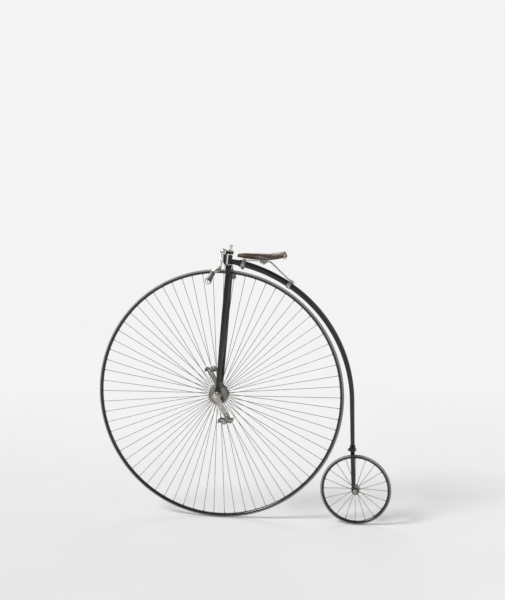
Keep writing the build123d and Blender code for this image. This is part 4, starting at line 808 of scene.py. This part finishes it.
def rear_end_fittings():
    """Washers and locked cones on the rear axle, the tail's brazed beads and the step clip's bolt."""
    cones = Piece("rear_cones", "frame", "bright_steel", within=REAR)
    for side in SIDES.values():
        out = outwards(side, 0)
        cones.add(nut(15.0, *REAR_CONE), out)
        cones.add(turned((4.9, 0), (11.8, 0), (11.8, 1.4), (11.2, 1.8), (4.9, 1.8), lift=REAR_EYE), out)
        cones.add(turned((4.6, 0), (8.0, 0), (6.6, 1.4), (4.6, 1.4), lift=REAR_NUT, steps=32), out)
    cones.done()
    beads = Piece("tail_beads", "frame", "black_enamel", within=TAIL)
    beads.add(turned((11.0, 0), (13.6, -0.2), (12.4, 1.4), (11.0, 3.4), steps=48))
    for side in SIDES.values():
        oval = Matrix.Diagonal((*TAIL_LEG_OVAL, 9.0, 1.0))
        beads.add(hoop(1.0, 0.09, steps=48, sides=8), put(beside(side, TAIL_LEG)) @ oval)
    beads.done()
    ear_y, ear_z = STEP_EAR
    clip = Piece("step_clip_bolt", "frame", "bright_steel", within=TAIL)
    clip.add(bar(2.6, -6.5, 9.0, 20, edge=0.5), put((0, ear_y, ear_z), (1, 0, 0)))
    clip.add(nut(8.6, 4.5, 8.0), put((0, ear_y, ear_z), (1, 0, 0)))
    clip.add(dome(4.2, 2.4), put((-4.5, ear_y, ear_z), (-1, 0, 0)))
    for x in (-STEP_RIVET_X, STEP_RIVET_X):
        for y in STEP_RIVET_YS:
            clip.add(dome(2.6, 1.4), put((x, y, STEP_UNDER), (0, 0, -1)))
    clip.done()
    # Painted shade: a dark sheet in the step clip's slit stands in for the shade in the gap
    slit_shade = Piece("step_clip_slit", "frame", "black_enamel", CEMENT_AND_GAP_SHADE, TAIL)
    slit_shade.add(slab((0.9, 9.6, 12.3), (0, ear_y + 2.0, ear_z), 0.1))
    slit_shade.done()


rear_end_fittings()


# Saddle, in the machine's frame. A row is x, half width, top and skirt of the leather.
LEATHER_ROWS = ((146, 15, -3, 17), (110, 21, 0, 28), (40, 31, 0, 36), (-30, 62, 0, 36), (-108, 80, 9, 30))
LEATHER_LENGTH = 270
LEATHER_WALL = 4.4
LEATHER_EDGE = 1.3
NOSE_ROLL = (138.0, 12.0, 12.0)        # where the leather turns down at the nose, how far on, how deep
NOSE_SHARE = 0.09                      # the roll's share of the way from nose to cantle
NOSE_NARROW = 0.22                     # shares of its width and of its corners that it loses there
NOSE_CORNER = 0.30
CANTLE_ROLL = (-105.0, -7.0, 10.0)
CANTLE_SHARE = 0.07
CANTLE_CORNER = 0.07
SAG = (1.5, 25, 55)                    # depth, middle and spread of the leather's sag along the saddle
HOLLOWS = (1.7, (-60, 27), (36, 18))   # depth of the two sat hollows, middle and spread along and across
TOOLED_LINES = ((7.0, 0.75, 1.0), (10.0, 0.5, 0.9))    # from the edge, depth, spread
CANTLE_LINE_SHIFT = 4                  # how much nearer the edge they run at the cantle
CANTLE_RIVETS = (0.965, (-0.84, -0.58, -0.30, 0.0, 0.30, 0.58, 0.84), 4.4)    # places on it, and radius
NOSE_RIVETS = (((0.035, 0.0), (0.06, -0.55), (0.06, 0.55)), 3.4)

# The nose's bolt, the saddle's rear plate, its clamp, the spring's clip and the slider
NOSE_BOLT_Z = -13.0
NOSE_BOLT_ENDS = (87.0, 133.0)
NOSE_NUTS = ((90.0, 94.6), (99.4, 103.4), (127.4, 132.1))
NOSE_THREAD = range(106, 125, 3)
YOKE_X = 97.0
CANTLE_BACK = -109.2
CANTLE_RAIL = (34.0, -15.6)            # how far out, how high
LOOP_Z = -24.5
CLAMP_RIVET_X = 11.0                   # from the clamp's bolt
CLAMP_RIVET_Y = 20.5
CLIP_EAR_Y = 2.3
CLIP_EAR_Z = -26.0
CLIP_SCREW_TOP = 28.74
CLIP_SCREW_TURN = 0.5                  # radians
SLIDER_SCREW_X = 5.6
SLIDER_FLANK = (15.4, -12.5)           # how far out, how high
SLIDER_FLANK_SLANT = (0.776, -0.63)
SLIDER_PIN = (22.0, 22.2)


def smooth_step(t, near, far, leave, arrive):
    """From near to far as t goes from 0 to 1, with the given slopes at both ends."""
    return ((2 * t ** 3 - 3 * t ** 2 + 1) * near + (t ** 3 - 2 * t ** 2 + t) * leave
            + (3 * t ** 2 - 2 * t ** 3) * far + (t ** 3 - t ** 2) * arrive)


def leather_row(x):
    """Half width, top and skirt of the leather at a place along it, on a smooth line through the rows."""
    last = len(LEATHER_ROWS) - 1
    i = min(max(sum(1 for row in LEATHER_ROWS if row[0] > x) - 1, 0), last - 1)
    near, far = LEATHER_ROWS[i], LEATHER_ROWS[i + 1]
    before, after = LEATHER_ROWS[max(i - 1, 0)], LEATHER_ROWS[min(i + 2, last)]
    run = far[0] - near[0]
    t = min(max((x - near[0]) / run, 0.0), 1.0)
    return [smooth_step(t, near[k], far[k], (far[k] - before[k]) / (far[0] - before[0]) * run,
                        (after[k] - near[k]) / (after[0] - near[0]) * run) for k in (1, 2, 3)]


def hill(value, middle, spread):
    return math.exp(-((value - middle) / spread) ** 2)


def leather_spot(s, v):
    """A place on the leather's outer face: s from nose to cantle, v from its right edge to its left."""
    drop, narrow = 0.0, 1.0
    if s < NOSE_SHARE:
        turn = (1 - s / NOSE_SHARE) * math.pi / 2
        x = NOSE_ROLL[0] + NOSE_ROLL[1] * math.sin(turn)
        drop = NOSE_ROLL[2] * (1 - math.cos(turn))
        narrow = 1 - NOSE_NARROW * (1 - math.cos(turn))
        v *= 1 - NOSE_CORNER * math.sin(turn) ** 4
    elif s > 1 - CANTLE_SHARE:
        turn = (s - 1 + CANTLE_SHARE) / CANTLE_SHARE * math.pi / 2
        x = CANTLE_ROLL[0] + CANTLE_ROLL[1] * math.sin(turn)
        drop = CANTLE_ROLL[2] * (1 - math.cos(turn))
        v *= 1 - CANTLE_CORNER * math.sin(turn) ** 4
    else:
        flat = 1 - CANTLE_SHARE - NOSE_SHARE
        x = NOSE_ROLL[0] + (CANTLE_ROLL[0] - NOSE_ROLL[0]) * (s - NOSE_SHARE) / flat
    half, top, skirt = leather_row(x)
    half *= narrow
    top -= drop
    skirt -= drop * 0.7
    bow = (half ** 2 + skirt ** 2) / (2 * skirt)
    reach = math.atan2(half, bow - skirt)
    y = bow * math.sin(v * reach)
    z = top - bow + bow * math.cos(v * reach)
    depth = SAG[0] * hill(x, *SAG[1:]) * (1 - v * v)
    depth += HOLLOWS[0] * hill(x, *HOLLOWS[1]) * hill(abs(y), *HOLLOWS[2])
    edge = min((1 - abs(v)) * reach * bow, s * LEATHER_LENGTH, (1 - s) * LEATHER_LENGTH + CANTLE_LINE_SHIFT)
    depth += sum(deep * hill(edge, middle, spread) for middle, deep, spread in TOOLED_LINES)
    return Vector((x, y, z)) - Vector((0, math.sin(v * reach), math.cos(v * reach))) * depth


def leather_top():
    """The moulded leather, tooled with two lines inside its edge, turned down at nose and cantle."""
    sheet = bmesh.new()
    bmesh.ops.create_grid(sheet, x_segments=170, y_segments=110, size=0.5)
    for vert in sheet.verts:
        vert.co = leather_spot(vert.co.x + 0.5, vert.co.y * 2)
    bmesh.ops.transform(sheet, matrix=MACHINE, verts=sheet.verts[:])
    bmesh.ops.recalc_face_normals(sheet, faces=sheet.faces[:])
    middle = min(sheet.faces, key=lambda face: face.calc_center_median().xy.length)
    if middle.normal.z < 0:
        bmesh.ops.reverse_faces(sheet, faces=sheet.faces[:])
    made = visible("saddle_top", sheet, FINISHES["saddle_leather"])
    wall = made.modifiers.new("wall", "SOLIDIFY")
    wall.thickness = LEATHER_WALL * MM
    wall.offset = -1.0
    rim = made.modifiers.new("rim", "BEVEL")
    rim.width = LEATHER_EDGE * MM
    rim.segments = 2
    rim.limit_method = "ANGLE"
    rim.angle_limit = math.radians(50)
    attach(made, "frame")
    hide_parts("saddle_leather")


def leather_rivet(piece, s, v, radius):
    """A domed rivet that stands square on the leather."""
    step = 0.004
    inside = Vector((10.0, 0, -30.0))
    here = leather_spot(s, v)
    out = (leather_spot(s + step, v) - leather_spot(s - step, v)).cross(
        leather_spot(s, v + step) - leather_spot(s, v - step))
    if out.dot(here - inside) < 0:
        out.negate()
    piece.add(turned((0, 1.9), (radius * 0.45, 1.7), (radius * 0.8, 1.0), (radius, 0.1), (radius, -1.0),
                     (0, -1.0), steps=20), put(here, out))


def saddle_fittings():
    """Copper rivets, the nose's tension bolt in its yoke on the rails, and two loops for a bag."""
    rivets = Piece("saddle_rivets", "frame", "bright_steel", COPPER)
    s, across, radius = CANTLE_RIVETS
    for v in across:
        leather_rivet(rivets, s, v, radius)
    spots, radius = NOSE_RIVETS
    for s, v in spots:
        leather_rivet(rivets, s, v, radius)
    rivets.done()
    bolt = Piece("nose_bolt", "frame", "bright_steel")
    along = put((0, 0, NOSE_BOLT_Z), (1, 0, 0))
    bolt.add(bar(3.0, *NOSE_BOLT_ENDS, 20, edge=0.5), along)
    bolt.add(slab((5.0, 24.0, 12.0), (YOKE_X, 0, NOSE_BOLT_Z - 2.5), 1.0))
    for ends in NOSE_NUTS:
        bolt.add(nut(10.0, *ends), along)
    for x in NOSE_THREAD:
        bolt.add(hoop(3.0, 0.45, 0, 20, 6), put((x, 0, NOSE_BOLT_Z), (1, 0, 0)))
    y, z = CANTLE_RAIL
    for side in SIDES.values():
        bolt.add(hoop(8.5, 1.7, 0, 36), put((CANTLE_BACK - 0.4, side * y, LOOP_Z), (1, 0, 0)))
        bolt.add(slab((3.2, 9.0, 8.0), (CANTLE_BACK, side * y, z), 0.8))
        bolt.add(dome(2.0, 1.2, 16), put((CANTLE_BACK - 1.6, side * y, z), (-1, 0, 0)))
    bolt.done()


def clamp_fittings():
    """Washers, nut and thread end of the saddle's bolt, and rivet heads under the clamp."""
    clamp = Piece("clamp_washers", "frame", "bright_steel")
    low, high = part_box("saddle_clamp")
    foot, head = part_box("saddle_bolt")
    x = (foot.x + head.x) / 2 / MM
    top, under = high.z / MM, low.z / MM
    clamp.add(turned((3.4, 0), (9.0, 0), (9.0, 1.2), (8.4, 1.6), (3.4, 1.6), steps=36), put((x, 0, top)))
    clamp.add(nut(12.6, 1.6, 6.0), put((x, 0, top)))
    clamp.add(washer(3.4, 9.0, -1.4, 0.2, steps=36), put((x, 0, under)))
    clamp.add(bar(3.3, -2.6, 0.4, 20, edge=0.6), put((x, 0, foot.z / MM)))
    for y in (-CLAMP_RIVET_Y, CLAMP_RIVET_Y):
        for step in (-CLAMP_RIVET_X, CLAMP_RIVET_X):
            clamp.add(dome(2.6, 1.5), put((x + step, y, under), (0, 0, -1)))
    clamp.done()


def spring_fittings():
    """Pinch bolt under the spring's clip, painted shade for the slot of its screw, and screws beside the
    slider.
    """
    pinch = Piece("clip_pinch_bolt", "frame", "bright_steel", within=CLIP)
    for y in (-CLIP_EAR_Y, CLIP_EAR_Y):
        pinch.add(slab((18.0, 3.4, 10.0), (0, y, CLIP_EAR_Z + 1.6), 0.8))
    across = put((0, 0, CLIP_EAR_Z), (0, 1, 0))
    pinch.add(bar(2.4, -9.4, 7.0, 20, edge=0.5), across)
    pinch.add(nut(8.4, -8.0, -4.0), across)
    pinch.add(dome(4.2, 2.6), across @ put((0, 0, 4.0)))
    pinch.done()
    # Painted shade: a dark strip on the screw's head stands in for the shade in its slot
    slot = Piece("spring_screw_slot", "frame", "bright_steel", CEMENT_AND_GAP_SHADE, CLIP)
    slot.add(slab((12.6, 1.6, 0.6), (0, 0, CLIP_SCREW_TOP), 0.1), Matrix.Rotation(CLIP_SCREW_TURN, 4, "Z"))
    slot.done()
    slide = Piece("slider_screws", "frame", "bright_steel", within=SLIDER)
    for side in SIDES.values():
        for x in (-SLIDER_SCREW_X, SLIDER_SCREW_X):
            slide.add(dome(2.5, 1.5), put(beside(side, SLIDER_FLANK, x), beside(side, SLIDER_FLANK_SLANT)))
        slide.add(dome(3.0, 1.8), outwards(side, SLIDER_PIN[0], z=SLIDER_PIN[1]))
    slide.done()


leather_top()
saddle_fittings()
clamp_fittings()
spring_fittings()


# Studio

def surround():
    """White to the camera, dimmer as light, and shaded by direction where metal mirrors it."""
    world = bpy.data.worlds.new("surround")
    bpy.context.scene.world = world
    world.use_nodes = True
    f = Nodes(world.node_tree)
    way = f.node("ShaderNodeTexCoord", out="Generated")
    shade = f.band(f.axis("Y", way), *MIRRORED_BY_Y) * f.band(f.axis("Z", way), *MIRRORED_BY_Z)
    seen = (SURROUND_SEEN - SURROUND_LIGHT) * f.ray("Camera")
    mirrored = (SURROUND_SEEN * shade - SURROUND_LIGHT) * f.ray("Glossy", "Transmission")
    back = world.node_tree.nodes["Background"]
    f.feed(back.inputs["Color"], WHITE)
    f.feed(back.inputs["Strength"], SURROUND_LIGHT + seen + mirrored)


def stand(name, what, place, towards):
    """Put a lamp or the camera at its place, looking along a direction."""
    made = bpy.data.objects.new(name, what)
    bpy.context.scene.collection.objects.link(made)
    made.location = place
    made.rotation_mode = "QUATERNION"
    made.rotation_quaternion = Vector(towards).to_track_quat("-Z", "Y")
    return made


def studio():
    """A pale floor, a pale surround, a soft sun and two soft lamps."""
    bpy.ops.mesh.primitive_plane_add(size=FLOOR_SIZE, location=(0, 0, GROUND))
    floor = bpy.context.object
    floor.name = "floor"
    floor.data.materials.append(floor_paint())
    surround()
    sun = bpy.data.lights.new("sun", "SUN")
    sun.energy = SUN_POWER
    sun.angle = SUN_SPREAD
    stand("sun", sun, SUN_AT, SUN_TOWARDS)
    for name, place, power, width in LAMPS:
        lamp = bpy.data.lights.new(name, "AREA")
        lamp.energy = power
        lamp.size = width
        stand(name, lamp, place, LIT_SPOT - Vector(place))


def camera():
    lens = bpy.data.cameras.new("camera")
    lens.lens = CAMERA_LENS
    lens.sensor_width = SENSOR_WIDTH
    bpy.context.scene.camera = stand("camera", lens, CAMERA_AT, CAMERA_TOWARDS)


studio()
camera()
bpy.context.scene.view_settings.view_transform = "Standard"
